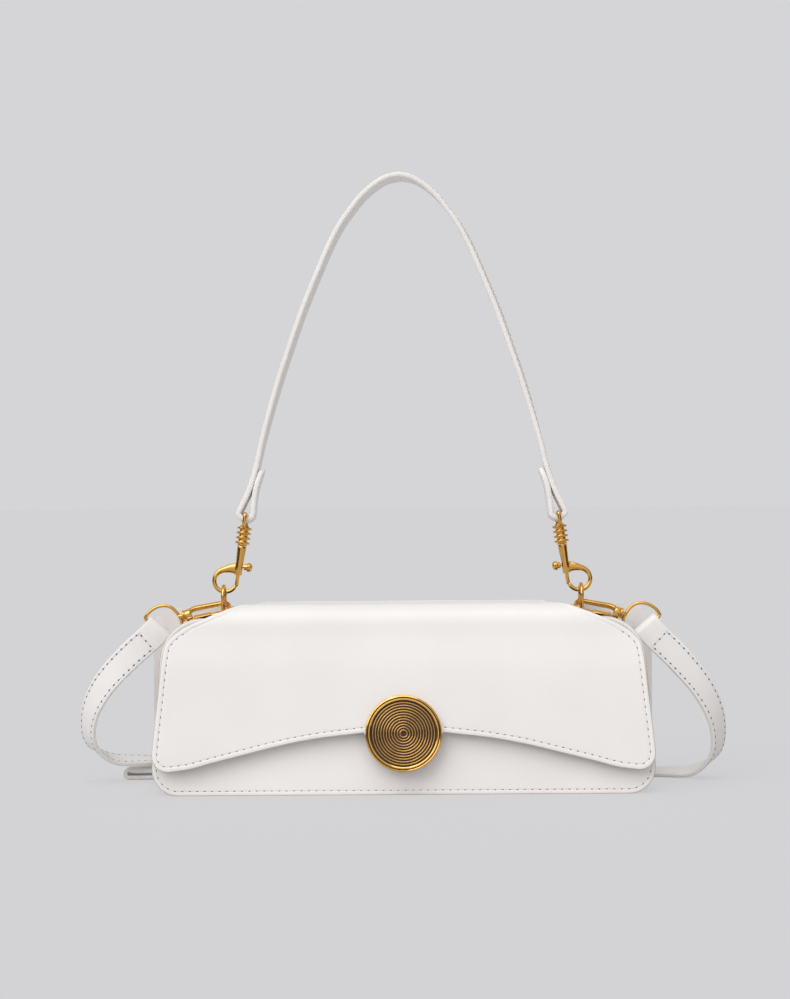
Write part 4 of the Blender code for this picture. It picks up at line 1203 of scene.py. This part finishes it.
snap = {
    "ringX": 0.1020,
    "ringY": 0.0140,
    "ringArc": 0.1072,
    "strapLean": math.radians(5),
    "lean": math.radians(8),
    "lift": 0.0033,
    "arcRadius": 0.00635,
    "arcOut": 0.0066,
    "collarLow": 0.0277,
    "collarPitch": 0.0028,
    "collarRibs": 4,
    "eyeSink": 0.0007,
    "eyeRise": 0.0070,
    "eyeWire": 0.0022,
}
collarHigh = snap["collarLow"] + snap["collarPitch"] * snap["collarRibs"]
eyeLow = collarHigh - snap["eyeSink"]
eyeBar = eyeLow + snap["eyeRise"]
swingPoint = Vector((0, snap["ringY"], snap["ringArc"]))
swingLean = Matrix.Rotation(-snap["strapLean"], 3, "X")
strapAcross = swingLean @ Vector((0, 1, 0))
shoulderStrap = {
    "width": 0.0145,
    "thickness": 0.0030,
    "foldRadius": 0.0024,
    "tail": 0.0240,
    "meet": 0.0610,
    "top": 0.2440,
    "halfSpan": 0.0872,
    "stitchInset": 0.0020,
    "stitchPitch": 0.0040,
    "twistRight": math.radians(11),
    "twistLeft": math.radians(5),
    "tipShares": (0.55, 0.72, 0.83, 0.90, 0.95, 0.98),
}
# Shares of the strap's half span and of its rise, from where its layers meet to the arch
archOfStrapShares = (
    (1.000, 0.000), (0.949, 0.079), (0.904, 0.173), (0.814, 0.328), (0.728, 0.454),
    (0.640, 0.575), (0.523, 0.713), (0.457, 0.785), (0.391, 0.844), (0.326, 0.888),
    (0.263, 0.927), (0.198, 0.957), (0.136, 0.979), (0.070, 0.994), (0.000, 1.000))


def onStrap(x, across, height):
    return swingPoint + swingLean @ Vector((x, across, height))


def tilted(way, angle):
    # The ways along and up at one side, turned up by an angle in the front's plane
    sine, cosine = math.sin(angle), math.cos(angle)
    return Vector((way * cosine, 0, sine)), Vector((-way * sine, 0, cosine))


def snapAxes(way):
    out, up = tilted(way, snap["lean"])
    foot = Vector((way * snap["ringX"], 0, snap["lift"])) - out * snap["arcOut"]
    return foot, out, up


def atSnap(way, out, up, across=0):
    foot, outWay, upWay = snapAxes(way)
    flat = foot + outWay * out + upWay * up
    return onStrap(flat.x, across, flat.z)


def snapWays(way):
    # The snap's way out from the bag's middle and its way up, as they hang
    foot = atSnap(way, 0, 0)
    return (atSnap(way, 1, 0) - foot).normalized(), (atSnap(way, 0, 1) - foot).normalized()


def addShoulderStrap():
    strap = shoulderStrap
    thickness, meet = strap["thickness"], strap["meet"]
    foldUp = eyeBar - snap["eyeWire"] / 2 - bag["gap"] + strap["foldRadius"]
    foot, out, up = snapAxes(1)
    fold = []
    for reach, height in arcPoints((0, foldUp), strap["foldRadius"] + thickness / 2, 180, 360, 5):
        flat = foot + out * reach + up * height
        fold.append((flat.x, flat.z))
    rise = strap["top"] - meet
    main = [(strap["halfSpan"] * span, meet + rise * height) for span, height in archOfStrapShares]
    slope = (main[1][0] - main[0][0]) / (main[1][1] - main[0][1])
    tailX = strap["halfSpan"] - (thickness + bag["gap"] * 1.5) * math.sqrt(1 + slope * slope)
    tail = [(tailX + slope * strap["tail"] / 2, meet + strap["tail"] / 2), (tailX, meet)]
    right = curveThrough(tail + fold + main, 8)
    left = [(-x, height) for x, height in reversed(right[:-1])]

    def acrossAt(x, height):
        twist = strap["twistRight"] if x > 0 else strap["twistLeft"]
        turn = -twist * math.sin(math.pi / 2 * clamped((height - meet) / rise * 2))
        return Matrix.Rotation(turn, 3, "Z") @ strapAcross

    path = [(onStrap(x, 0, height), acrossAt(x, height)) for x, height in right + left]
    frames = strapSweep(
        "shoulderStrapLeather", path, strap["width"], thickness, "strap", ["shoulder_strap"],
        strap["tipShares"])
    foldEnd = (len(tail) + len(fold)) * 8 + 4
    face = 1 if frames[len(frames) // 2][3].z > 0 else -1
    rows = strapRows(frames, strap, face, foldEnd, len(frames) - foldEnd)
    sew("shoulderStrapStitches", rows, "strap", strap["stitchPitch"])


clasp = {
    "forward": 0.0067,
    "out": 0.0205,
    "drop": 0.0096,
    "rise": math.radians(11),
    "roll": math.radians(35),
    "half": 0.0046,
    "wire": 0.0024,
    "nose": 0.0199,
    "stub": 0.0145,
    "hubRadius": 0.0032,
    "hubLength": 0.0050,
    "barAngle": math.radians(41.4),
    "loopWire": 0.0019,
}
claspHub = Vector((
    snap["ringX"] + clasp["out"], snap["ringY"] - clasp["forward"], snap["ringArc"] - clasp["drop"]))


def claspAxes(way):
    along, upward = tilted(-way, clasp["rise"])
    over = Vector((0, math.cos(clasp["roll"]), 0)) + upward * math.sin(clasp["roll"])
    return along, over, along.cross(over).normalized()


def atClasp(way, along, over, flat=0):
    hub = Vector((claspHub.x * way, claspHub.y, claspHub.z))
    alongWay, overWay, flatWay = claspAxes(way)
    return hub + alongWay * along + overWay * over + flatWay * flat


crossStrap = {
    "width": 0.0155,
    "thickness": 0.0024,
    "layer": 0.0044,
    "backGap": 0.0082,
    "dropOut": 0.0431,
    "turnMargin": 0.0160,
    "tailSteps": 13,
    "foldSteps": 12,
    "stitchInset": 0.0019,
    "stitchPitch": 0.0040,
    "crossStitchAt": 3,
    "tipShares": (0.94, 0.98),
}
crossBack = bag["baseDepth"] / 2 + crossStrap["backGap"] + crossStrap["width"] / 2
# Shares of the way out past the bar, of the way back and of the height above the run behind
# the bag, and the way of the strap's width there
dropShares = (
    (0.086, 0.000, 0.952, -0.73, 0.00, -0.68), (0.427, 0.020, 0.785, -0.72, -0.22, -0.66),
    (0.744, 0.090, 0.590, -0.74, -0.50, -0.45), (0.932, 0.210, 0.380, -0.64, -0.74, -0.20),
    (0.938, 0.400, 0.172, -0.45, -0.88, 0.00), (0.700, 0.670, 0.042, -0.25, -0.94, -0.20),
    (0.253, 0.900, 0.014, -0.05, -0.98, -0.12), (-0.026, 0.980, 0.001, 0.00, -1.00, 0.00))
# The strap loop's outline and its stem, as shares of the crossbody strap's width
loopShares = (
    (0.645, 0.085), (0.658, 0.320), (0.568, 0.610), (0.375, 0.840), (0.097, 0.945),
    (-0.277, 0.890), (-0.516, 0.760), (-0.645, 0.515), (-0.665, 0.260), (-0.645, 0.085))
stemShares = (-0.257, 0.849)


def loopFrame(way):
    along, inward = tilted(way, clasp["barAngle"])
    offset = (along * stemShares[0] + inward * stemShares[1]) * crossStrap["width"]
    return atClasp(way, -clasp["hubLength"], 0) - offset, along, inward


def dropPath(way, runHeight):
    middle, along, inward = loopFrame(way)
    thickness = crossStrap["thickness"]
    radius = clasp["loopWire"] / 2 + bag["gap"] + thickness / 2
    front = claspHub.y - radius
    drop = []
    for out, back, height, *across in dropShares:
        drop.append((
            middle.x * way + crossStrap["dropOut"] * out, between(front, crossBack, back),
            between(runHeight, middle.z, height), *across))
    down = []
    for x, y, z, *across in curveThrough(drop, 8):
        down.append((Vector((way * x, y, z)), Vector((way * across[0], *across[1:]))))
    behind = Vector((0, thickness + bag["gap"] * 2, 0))
    path = [(point + behind, across) for point, across in reversed(down[:crossStrap["tailSteps"]])]
    for up, out in arcPoints((0, 0), radius, 90, -90, crossStrap["foldSteps"]):
        path.append((middle + inward * up + Vector((0, out, 0)), -along))
    return path + down


def addCrossStrap():
    strap = crossStrap
    thickness = strap["thickness"]
    flat = Vector((0, -1, 0))
    floor = thickness / 2 + bag["gap"] / 3
    second = floor + strap["layer"]
    third = second + strap["layer"]
    leftTurn = bag["backWidth"] / 2 + strap["turnMargin"]
    rightTurn = bag["backWidth"] / 2 - strap["turnMargin"]

    def run(start, end, height):
        return [(Vector((x, crossBack, height)), flat) for x in steps(start, end, 20, 1, 19)]

    def turn(x, high, low, way):
        bend = arcPoints((0, (high + low) / 2), (high - low) / 2, 90, -90, 10)
        return [(Vector((way * (x + reach), crossBack, up)), flat) for reach, up in bend]

    left = dropPath(-1, third)
    right = dropPath(1, floor)
    path = left + run(left[-1][0].x, rightTurn, third)
    topEnd = len(path)
    path += turn(rightTurn, third, second, 1) + run(rightTurn, -leftTurn, second)
    path += turn(leftTurn, second, floor, -1) + run(-leftTurn, right[-1][0].x, floor)
    path += list(reversed(right))
    frames = strapSweep(
        "crossbodyStrapLeather", path, strap["width"], thickness, "root", ["crossbody_strap"],
        strap["tipShares"])
    count = len(frames)
    begin = strap["tailSteps"] + strap["foldSteps"] + strap["crossStitchAt"]
    leftEnd = len(left) - 10
    rows = strapRows(frames, strap, 1, begin, leftEnd)
    rows += strapRows(frames, strap, 1, count - leftEnd, count - begin)
    rows += strapRows(frames, strap, -1, begin, topEnd - 1)
    for station in (begin, count - begin - 1):
        point, along, side, out = frames[station]
        reach = strap["width"] / 2 - strap["stitchInset"]
        place = point + out * thickness / 2
        rows.append(([place - side * reach, place + side * reach], out))
    sew("crossbodyStitches", rows, "root", strap["stitchPitch"])


addShoulderStrap()
addCrossStrap()
print("the straps are done")


# Gold hardware

ring = {"wire": 0.0022, "inside": 0.0110, "leg": 0.0080, "foot": 0.0011}
bolt = {
    "radius": 0.00105,
    "reach": 0.0040,
    "tip": ((0.55, 0), (0.92, 0.0004), (1, 0.0009)),
    "head": 0.0014,
    "studLow": 0.0156,
    "stem": 0.0009,
    "stemOut": 0.0046,
    "neck": 0.0018,
    "neckOut": 0.0030,
    "knob": 0.0027,
    "knobThickness": 0.0030,
    "knobTurns": (
        (0.80, 0), (0.96, 0.0003), (1, 0.0007), (0.97, 0.0011), (0.86, 0.0012), (0.86, 0.0014),
        (0.94, 0.0015), (0.88, 0.0020), (0.72, 0.0025), (0.44, 0.0029)),
    "travel": 0.0045,
    "softness": 0.0001,
    "knobSoftness": 0.00008,
}
hook = {
    "wire": 0.0025,
    "low": 0.0105,
    "high": 0.0270,
    "lowRadius": 0.0021,
    "highRadius": 0.0026,
    "waistAt": 0.42,
    "waistBroad": 1.03,
    "barrelTurns": ((0.98, 0.0022), (1, 0.0012), (1, 0)),
    "pinGap": 0.00015,
    "boreRoom": 0.0005,
    "startAngle": -156,
    "endAngle": 72,
    "tipShare": 0.90,
    "tipWithin": 1 / 3,
    "jointShare": 0.7,
    "flareFrom": 0.5,
    "flarePower": 1.6,
    "rootSink": 0.00015,
    "rootAcross": 1.20,
    "rootBroad": 2.15,
    "softness": 0.00018,
}
eye = {
    "ribRadius": 0.0042,
    "coreRadius": 0.0027,
    "ribThickness": 0.0013,
    "ribTurns": (
        (0.88, -0.98), (0.97, -0.72), (1, -0.3), (1, 0.3), (0.97, 0.72), (0.88, 0.98)),
    "waistShare": 0.94,
    "skirtShare": 1.08,
    "topShare": 0.7,
    "pinRadius": 0.0012,
    "pinLength": 0.0040,
    "corner": 0.0024,
    "side": 0.0005,
    "skirt": 0.0004,
    "topRise": 0.0003,
}


def settleGold(piece, name, body, node, angle=42):
    piece.name = name
    settle(piece, body, "gold", [node], angle)


def addRing(end, way):
    radius = (ring["inside"] + ring["wire"]) / 2
    y, z = snap["ringY"], snap["ringArc"]
    low = z - ring["leg"]
    corners = softCorners(
        [(y + radius, z), (y - radius, z), (y - radius, low), (y + radius, low)],
        [0, 0, ring["foot"], ring["foot"]])
    line = arcPoints((y, z), radius, 0, 180, 28)[:-1] + corners[1:]
    points = [Vector((way * snap["ringX"], *spot)) for spot in line]
    wire = rod("ringWire", points, ring["wire"] / 2, True, 20)
    settleGold(wire, end + "DRing", end + "_ring", end + "_d_ring", 60)


def addHook(end, way):
    outWay, upWay = snapWays(way)
    wireRadius = hook["wire"] / 2
    bore = bolt["head"] + bag["gap"]
    rodHole = bolt["radius"] + bag["gap"]
    pinHole = eye["pinRadius"] + hook["pinGap"]
    pinFloor = snap["collarLow"] - eye["pinLength"] - bag["gap"]
    boreTop = pinFloor - hook["boreRoom"]
    low, high = hook["low"], hook["high"]
    ledge = low + wireRadius
    barrel = turned("barrel", [
        (0, boreTop), (bore, boreTop), (bore, ledge), (rodHole, ledge), (rodHole, low),
        (hook["lowRadius"], low),
        (hook["lowRadius"] * hook["waistBroad"], between(low, high, hook["waistAt"])),
        *[(hook["highRadius"] * wide, high - down) for wide, down in hook["barrelTurns"]],
        (pinHole, high), (pinHole, pinFloor), (0, pinFloor)],
        atSnap(way, 0, 0), upWay, 32, hook["softness"])
    bend = arcPoints(
        (snap["arcOut"], snap["arcRadius"]), snap["arcRadius"], hook["startAngle"],
        hook["endAngle"], 30)
    endOut = hook["lowRadius"] - hook["rootSink"]
    last = bend[-1]
    jointUp = last[1] + hook["wire"] * 2 / 3
    middle = ((last[0] + endOut) / 2, between(last[1], jointUp, hook["jointShare"]))
    line = bend[:-1] + curveThrough([last, middle, (endOut, jointUp)])
    radii = []
    flats = []
    for share in steps(0, 1, len(line) - 1):
        flare = (max(0, share - hook["flareFrom"]) / (1 - hook["flareFrom"])) ** hook["flarePower"]
        swell = between(hook["tipShare"], 1, min(1, share / hook["tipWithin"]))
        radii.append(wireRadius * between(swell, hook["rootAcross"], flare))
        flats.append(between(1, hook["rootBroad"], flare))
    points = [atSnap(way, *spot) for spot in line]
    across = [strapAcross] * len(line)
    wire = rod("hookWire", points, radii, False, 24, across, flats, (True, False))
    wide = (bolt["stem"] + bag["gap"]) * 2
    slot = block(
        "studSlot", atSnap(way, -hook["highRadius"], bolt["studLow"] + bolt["travel"] / 2),
        (outWay, strapAcross, upWay), (hook["highRadius"] * 2, wide, bolt["travel"] + wide))
    body = fuse(fuse(barrel, wire), slot, "DIFFERENCE")
    settleGold(body, end + "HookBody", end + "_hook", end + "_hook_body")


def addBolt(end, way):
    outWay, upWay = snapWays(way)
    neck = hook["low"] + hook["wire"] * 2 / 3
    head, stem, reach = bolt["head"], bolt["stem"], bolt["reach"]
    top = bolt["studLow"] + bolt["knob"]
    pin = turned("boltPin", [
        (0, reach), *[(bolt["radius"] * wide, reach + up) for wide, up in bolt["tip"]],
        (bolt["radius"], neck), (head, hook["low"] + hook["wire"]), (head, top), (0, top)],
        atSnap(way, 0, 0), upWay, 24, bolt["softness"])
    start = bolt["stemOut"]
    stud = turned("boltKnob", [
        (0, 0), (stem, 0), (stem, bolt["neckOut"]), (bolt["neck"], bolt["neckOut"]),
        (bolt["neck"], start),
        *[(bolt["knob"] * wide, start + out) for wide, out in bolt["knobTurns"]],
        (0, start + bolt["knobThickness"])],
        atSnap(way, 0, bolt["studLow"]), -outWay, 32, bolt["knobSoftness"])
    settleGold(fuse(pin, stud), end + "SnapBolt", end + "_bolt", end + "_bolt")


def addEye(end, way):
    low, pitch = snap["collarLow"], snap["collarPitch"]
    core, rib, pin = eye["coreRadius"], eye["ribRadius"], eye["pinRadius"]
    waist = core * eye["waistShare"]
    broad = core * eye["skirtShare"]
    skirt = low - eye["skirt"]
    pinEnd = low - eye["pinLength"]
    profile = [
        (0, pinEnd), (pin, pinEnd), (pin, skirt), (core, skirt), (broad, skirt + eye["skirt"] / 2),
        (broad, low)]
    half = eye["ribThickness"] / 2
    for index in range(snap["collarRibs"]):
        middle = low + pitch * (index + 0.5)
        profile += [(waist, middle - pitch / 2), (core, middle - half)]
        profile += [(rib * wide, middle + half * up) for wide, up in eye["ribTurns"]]
        profile.append((core, middle + half))
    top = collarHigh + eye["topRise"]
    profile += [(waist, collarHigh), (core * eye["topShare"], top), (0, top)]
    collar = turned("collar", profile, atSnap(way, 0, 0), snapWays(way)[1], 40)
    wide = shoulderStrap["width"] / 2 + eye["side"] + snap["eyeWire"] / 2
    upper = snap["eyeWire"] * 2 / 3
    outline = softRectangle(
        (-wide, eyeLow), (wide, eyeBar), [eye["corner"], eye["corner"], upper, upper])
    points = [atSnap(way, 0, up, across) for across, up in outline]
    loop = rod("eyeLoop", points, snap["eyeWire"] / 2, True, 18)
    settleGold(fuse(collar, loop), end + "SwivelEye", "strap", end + "_swivel_eye")


claspParts = {
    "gateStart": 0.0041,
    "gateWidth": 0.0031,
    "gateDepth": 0.0027,
    "gateShares": ((0, 0.86), (0.04, 1), (0.5, 1), (0.96, 1), (1, 0.86)),
    "barWidth": 0.0029,
    "barRounding": 0.0007,
    "rounding": 0.0005,
    "tongue": 0.0013,
    "tongueLength": 0.0037,
    "tongueHeight": 0.0020,
    "tongueRounding": 0.0003,
    "pinAlong": 0.0020,
    "pinOver": 0.0045,
    "pinRadius": 0.0004,
    "pinGap": 0.00015,
    "lugWidth": 0.0036,
    "lugLength": 0.0030,
    "lugHeight": 0.0036,
    "lugMiddle": 0.0017,
    "lugOver": 0.0036,
    "swingRoom": 0.0004,
    "slotRounding": 0.0001,
    "hubFloor": 0.0003,
    "hubWall": 0.0010,
    "hubTurns": ((1, 0.0003), (1, 0.0008), (0.90, 0.0011), (0.90, 0.0015), (1, 0.0018)),
    "hubRounding": 0.0003,
    "hubShoulder": 0.0006,
    "hubEndShare": 0.86,
    "barRiseShare": 0.8,
    "barTaper": 5,
    "loopRoom": 0.0008,
    "hubSoftness": 0.00008,
    "stem": 0.0013,
    "stemSoftness": 0.00012,
    "head": 0.0021,
}


def gatePin(way):
    foot = atClasp(way, claspParts["pinAlong"], -claspParts["pinOver"])
    radius = claspParts["pinRadius"] + claspParts["pinGap"]
    half = claspParts["lugWidth"]
    profile = [(0, -half), (radius, -half), (radius, half), (0, half)]
    return turned("pinTool", profile, foot, claspAxes(way)[2], 16)


def addClasp(end, way):
    axes = claspAxes(way)
    sizes = claspParts
    gap = bag["gap"]
    half = clasp["hubLength"] / 2
    radius = clasp["hubRadius"]
    cavity = sizes["head"] + gap
    mouth = sizes["stem"] + gap
    wall = -half + sizes["hubWall"]
    hub = turned("claspHub", [
        (0, sizes["hubFloor"]), (cavity, sizes["hubFloor"]), (cavity, wall), (mouth, wall),
        (mouth, -half), (radius - sizes["hubRounding"], -half),
        *[(radius * wide, up - half) for wide, up in sizes["hubTurns"]],
        (radius, half - sizes["hubShoulder"]), (radius * sizes["hubEndShare"], half), (0, half)],
        atClasp(way, 0, 0), axes[0], 36, sizes["hubSoftness"])
    over, wire = clasp["half"], clasp["wire"]
    line = [(half / 2, radius - wire / 2), (half, over * sizes["barRiseShare"]), (half * 2, over)]
    line = curveThrough(line, 5)
    shoulder = len(line)
    line += [(along, over) for along in steps(half * 2, clasp["nose"], 6, 1, 5)]
    line += arcPoints((clasp["nose"], 0), over, 90, -90, 24)
    line.append((clasp["stub"], -over))
    points = [atClasp(way, *spot) for spot in line]
    widths = [
        between(sizes["barWidth"], wire, clamped((index - shoulder) / sizes["barTaper"]))
        for index in range(len(line))]
    frames = framesAlong(points, across=[axes[2]] * len(points))
    sections = [softSection(width, wire, sizes["barRounding"]) for width in widths]
    body = fuse(hub, sweep("claspBars", frames, sections))
    lug = (sizes["lugLength"], sizes["lugHeight"], sizes["lugWidth"])
    ear = block(
        "ear", atClasp(way, sizes["lugMiddle"], -sizes["lugOver"]), axes, lug,
        sizes["rounding"])
    slotOver = sizes["pinOver"] - sizes["tongueHeight"] / 2 - gap - sizes["swingRoom"]
    slot = block(
        "slot", atClasp(way, sizes["lugMiddle"] + gap, -slotOver - sizes["lugHeight"] / 2), axes,
        (sizes["lugLength"] + gap * 2, sizes["lugHeight"], sizes["tongue"] + gap * 2),
        sizes["slotRounding"])
    body = fuse(fuse(body, ear), slot, "DIFFERENCE")
    body = fuse(body, gatePin(way), "DIFFERENCE")
    settleGold(body, end + "ClaspBody", end + "_clasp", end + "_clasp_body")

    start, stop = sizes["gateStart"], clasp["stub"] - gap
    points = [atClasp(way, between(start, stop, place), -over) for place, size in sizes["gateShares"]]
    frames = framesAlong(points, across=[axes[2]] * len(points))
    sections = [
        softSection(sizes["gateWidth"] * size, sizes["gateDepth"] * size, sizes["rounding"])
        for place, size in sizes["gateShares"]]
    tongue = block(
        "tongue", atClasp(way, start + gap * 2 - sizes["tongueLength"] / 2, -sizes["pinOver"]),
        axes, (sizes["tongueLength"], sizes["tongueHeight"], sizes["tongue"]),
        sizes["tongueRounding"])
    gate = fuse(sweep("gateBar", frames, sections), tongue)
    gate = fuse(gate, gatePin(way), "DIFFERENCE")
    settleGold(gate, end + "ClaspGate", end + "_gate", end + "_clasp_gate")


def addLoop(end, way):
    middle, along, inward = loopFrame(way)
    sizes = claspParts
    width = crossStrap["width"]
    half = width / 2 + sizes["loopRoom"]
    outline = [(-half, 0), (0, 0), (half, 0)]
    outline += [(width * x, width * y) for x, y in loopShares]
    points = [middle + along * x + inward * y for x, y in curveThrough(outline, 6, True)]
    wire = rod("loopWire", points, clasp["loopWire"] / 2, True, 18)
    foot = -clasp["hubLength"]
    head = foot / 2 + sizes["hubWall"] + bag["gap"]
    top = sizes["hubFloor"] - bag["gap"]
    stem = turned("loopStem", [
        (0, foot), (sizes["stem"], foot), (sizes["stem"], head), (sizes["head"], head),
        (sizes["head"], top), (0, top)],
        atClasp(way, 0, 0), claspAxes(way)[0], 24, sizes["stemSoftness"])
    settleGold(fuse(stem, wire), end + "StrapLoop", "root", end + "_clasp_loop")


for end, way in (("left", -1), ("right", 1)):
    for addPart in (addRing, addHook, addBolt, addEye, addClasp, addLoop):
        addPart(end, way)
print("the gold hardware is done")


# Inside of the bag, the ring tabs and the magnetic snap

inside = {
    "panelInset": 0.0033,
    "sideInset": 0.0009,
    "thickness": 0.0008,
    "base": 0.0030,
    "parts": 6,
    "lowSteps": 6,
    "highSteps": 10,
}
pocket = {
    "half": 0.060,
    "low": 0.018,
    "height": 0.060,
    "thickness": 0.0010,
    "corner": 0.006,
    "upperCorner": 0.001,
    "edgeLayers": ((0.0002, 0.0002), (0.0010, 0.0001), (0.0012, -0.0002), (0.0010, 0.0002)),
    "edgeRounding": 0.0003,
    "stitchInset": 0.0020,
    "stitchPitch": 0.0032,
    "stitchEnd": 0.004,
}
tab = {
    "leather": 0.0011,
    "width": 0.0095,
    "length": 0.0150,
    "tipShares": (0.94, 1),
    "stitchInset": 0.0016,
    "stitchDrop": 0.0030,
    "stitchPitch": 0.0030,
}
magnet = {
    "stud": 0.0085,
    "studSeat": 0.0024,
    "studThickness": 0.0011,
    "nose": 0.0024,
    "noseLength": 0.0012,
    "noseRoom": 0.0009,
    "post": 0.0019,
    "postDepth": 0.0006,
    "washer": 0.0100,
    "washerThickness": 0.0006,
    "socket": 0.0090,
    "socketHigh": 0.0021,
    "shank": 0.0030,
    "shankEnd": 0.0005,
    "backWasher": 0.0080,
    "softness": 0.0002,
    "washerSoftness": 0.00015,
}


def liningRing(height, inset):
    # One closed ring of the lining: along the front, the folded sides and the back
    drawn = inside["sideInset"] + inset
    right = sideSection(height, gusset["thickness"] / 2 + drawn)
    corners = right + [Vector((-point.x, point.y)) for point in reversed(right)]
    insets = [drawn, drawn, drawn, inside["panelInset"] + inset] * 2
    lines = []
    for index, corner in enumerate(corners):
        way = (corners[(index + 1) % len(corners)] - corner).normalized()
        lines.append((corner + Vector((-way.y, way.x)) * insets[index], way))
    ring = []
    for index in range(len(corners)):
        (first, along), (second, over) = lines[index - 1], lines[index]
        gap = second - first
        reach = (gap.x * over.y - gap.y * over.x) / (along.x * over.y - along.y * over.x)
        ring.append(first + along * reach)
    fine = []
    for index, point in enumerate(ring):
        after = ring[(index + 1) % len(ring)]
        fine += [point.lerp(after, part / inside["parts"]) for part in range(inside["parts"])]
    return fine


def addLining():
    corner, parts, base = bag["lowerCorner"], inside["parts"], inside["base"]
    heights = steps(base, corner, inside["lowSteps"])[:-1]
    heights += steps(corner, gusset["top"], inside["highSteps"])
    rising = steps(0, 1, parts)[:-1]
    shares = [1 - share for share in rising] + [0] * parts * 5 + rising + [1] * parts
    rows = []
    for inset, levels in ((0, heights), (inside["thickness"], heights[::-1])):
        for height in levels:
            raised = height + (inset if height == base else 0)
            ring = []
            for index, share in enumerate(shares):
                level = sloped(raised, share)
                ring.append((*liningRing(level, inset)[index], level))
            rows.append(ring)
    settle(skin("liningCloth", rows), "root", "cloth", ["lining"], 60)


def addPocket():
    half, height, thickness = pocket["half"], pocket["height"], pocket["thickness"]
    corners = [pocket["corner"]] * 2 + [pocket["upperCorner"]] * 2
    outline = softRectangle((-half, 0), (half, height), corners)
    seat = backY - inside["panelInset"] - inside["thickness"] - bag["gap"]

    def place(x, up, out):
        return Vector((x, seat - out, pocket["low"] + up))

    cut = cutPanel(
        "pocketCloth", outline, thickness - pocket["edgeRounding"], pocket["edgeLayers"],
        steps(-half, half, 4, 1, 3), [height / 2], place, False)
    settle(cut, "root", "cloth", ["inner_pocket"])
    line = openSeam(outline, pocket["stitchInset"], height - pocket["stitchEnd"])
    points = [place(*spot, thickness) for spot in line]
    sew("pocketStitches", [(points, Vector((0, -1, 0)))], "root", pocket["stitchPitch"], "cloth")


def addTab(end, way):
    low = snap["ringArc"] - ring["leg"]
    radius = ring["wire"] / 2 + bag["gap"] + tab["leather"] / 2
    foot = low - tab["length"]
    section = [(radius, height) for height in steps(foot, low, 5)[:-1]]
    section += arcPoints((0, low), radius, 0, 180, 16)
    section += [(-radius, height) for height in steps(low, foot, 5, 1)]
    middle = way * snap["ringX"]
    across = Vector((0, 1, 0))
    path = [(Vector((middle + x, snap["ringY"], z)), across) for x, z in section]
    strapSweep(
        end + "RingTab", path, tab["width"], tab["leather"], "root", [end + "_ring_tab"],
        tab["tipShares"])
    lines = []
    for face in (1, -1):
        x = middle + face * (radius + tab["leather"] / 2)
        for edge in (-1, 1):
            y = snap["ringY"] + edge * (tab["width"] / 2 - tab["stitchInset"])
            heights = (foot + tab["stitchInset"], low - tab["stitchDrop"])
            lines.append(([Vector((x, y, height)) for height in heights], Vector((face, 0, 0))))
    sew(end + "TabStitches", lines, "root", tab["stitchPitch"])


def addSteel(name, profile, bevel, body, node):
    piece = turned(name, profile, onFace(0, discUp, 0), faceOut, 64, bevel)
    settle(piece, body, "steel", [node])


def addMagnet():
    sizes, gap = magnet, bag["gap"]
    seat = sizes["studSeat"]
    high = seat + sizes["studThickness"]
    tip = seat - sizes["noseLength"]
    nose, stud, post, plate = sizes["nose"], sizes["stud"], sizes["post"], sizes["washer"]
    hollow = high - sizes["postDepth"]
    addSteel(
        "snapStudSteel",
        [(0, tip), (nose, tip), (nose, seat), (stud, seat), (stud, high), (post, high),
         (post, hollow), (0, hollow)], sizes["softness"], "flap", "snap_stud")
    low = high + gap
    top = low + sizes["washerThickness"]
    addSteel(
        "snapStudWasher", [(post, low), (plate, low), (plate, top), (post, top)],
        sizes["washerSoftness"], "flap", "clasp_washer")
    end = -bag["panel"] - gap - sizes["washerThickness"]
    shankEnd = end - sizes["shankEnd"]
    shank, socket, rim = sizes["shank"], sizes["socket"], sizes["socketHigh"]
    cup = nose + sizes["noseRoom"]
    addSteel(
        "snapSocketSteel",
        [(0, shankEnd), (shank, shankEnd), (shank, gap), (socket, gap), (socket, rim), (cup, rim),
         (cup, tip - gap), (0, tip - gap)], sizes["softness"], "root", "snap_socket")
    bore, outer = shank + gap, sizes["backWasher"]
    top = end + sizes["washerThickness"]
    addSteel(
        "snapSocketWasher", [(bore, end), (outer, end), (outer, top), (bore, top)],
        sizes["washerSoftness"], "root", "snap_socket_washer")


addLining()
addPocket()
addTab("left", -1)
addTab("right", 1)
addMagnet()
print("the inside, the ring tabs and the snap are done")
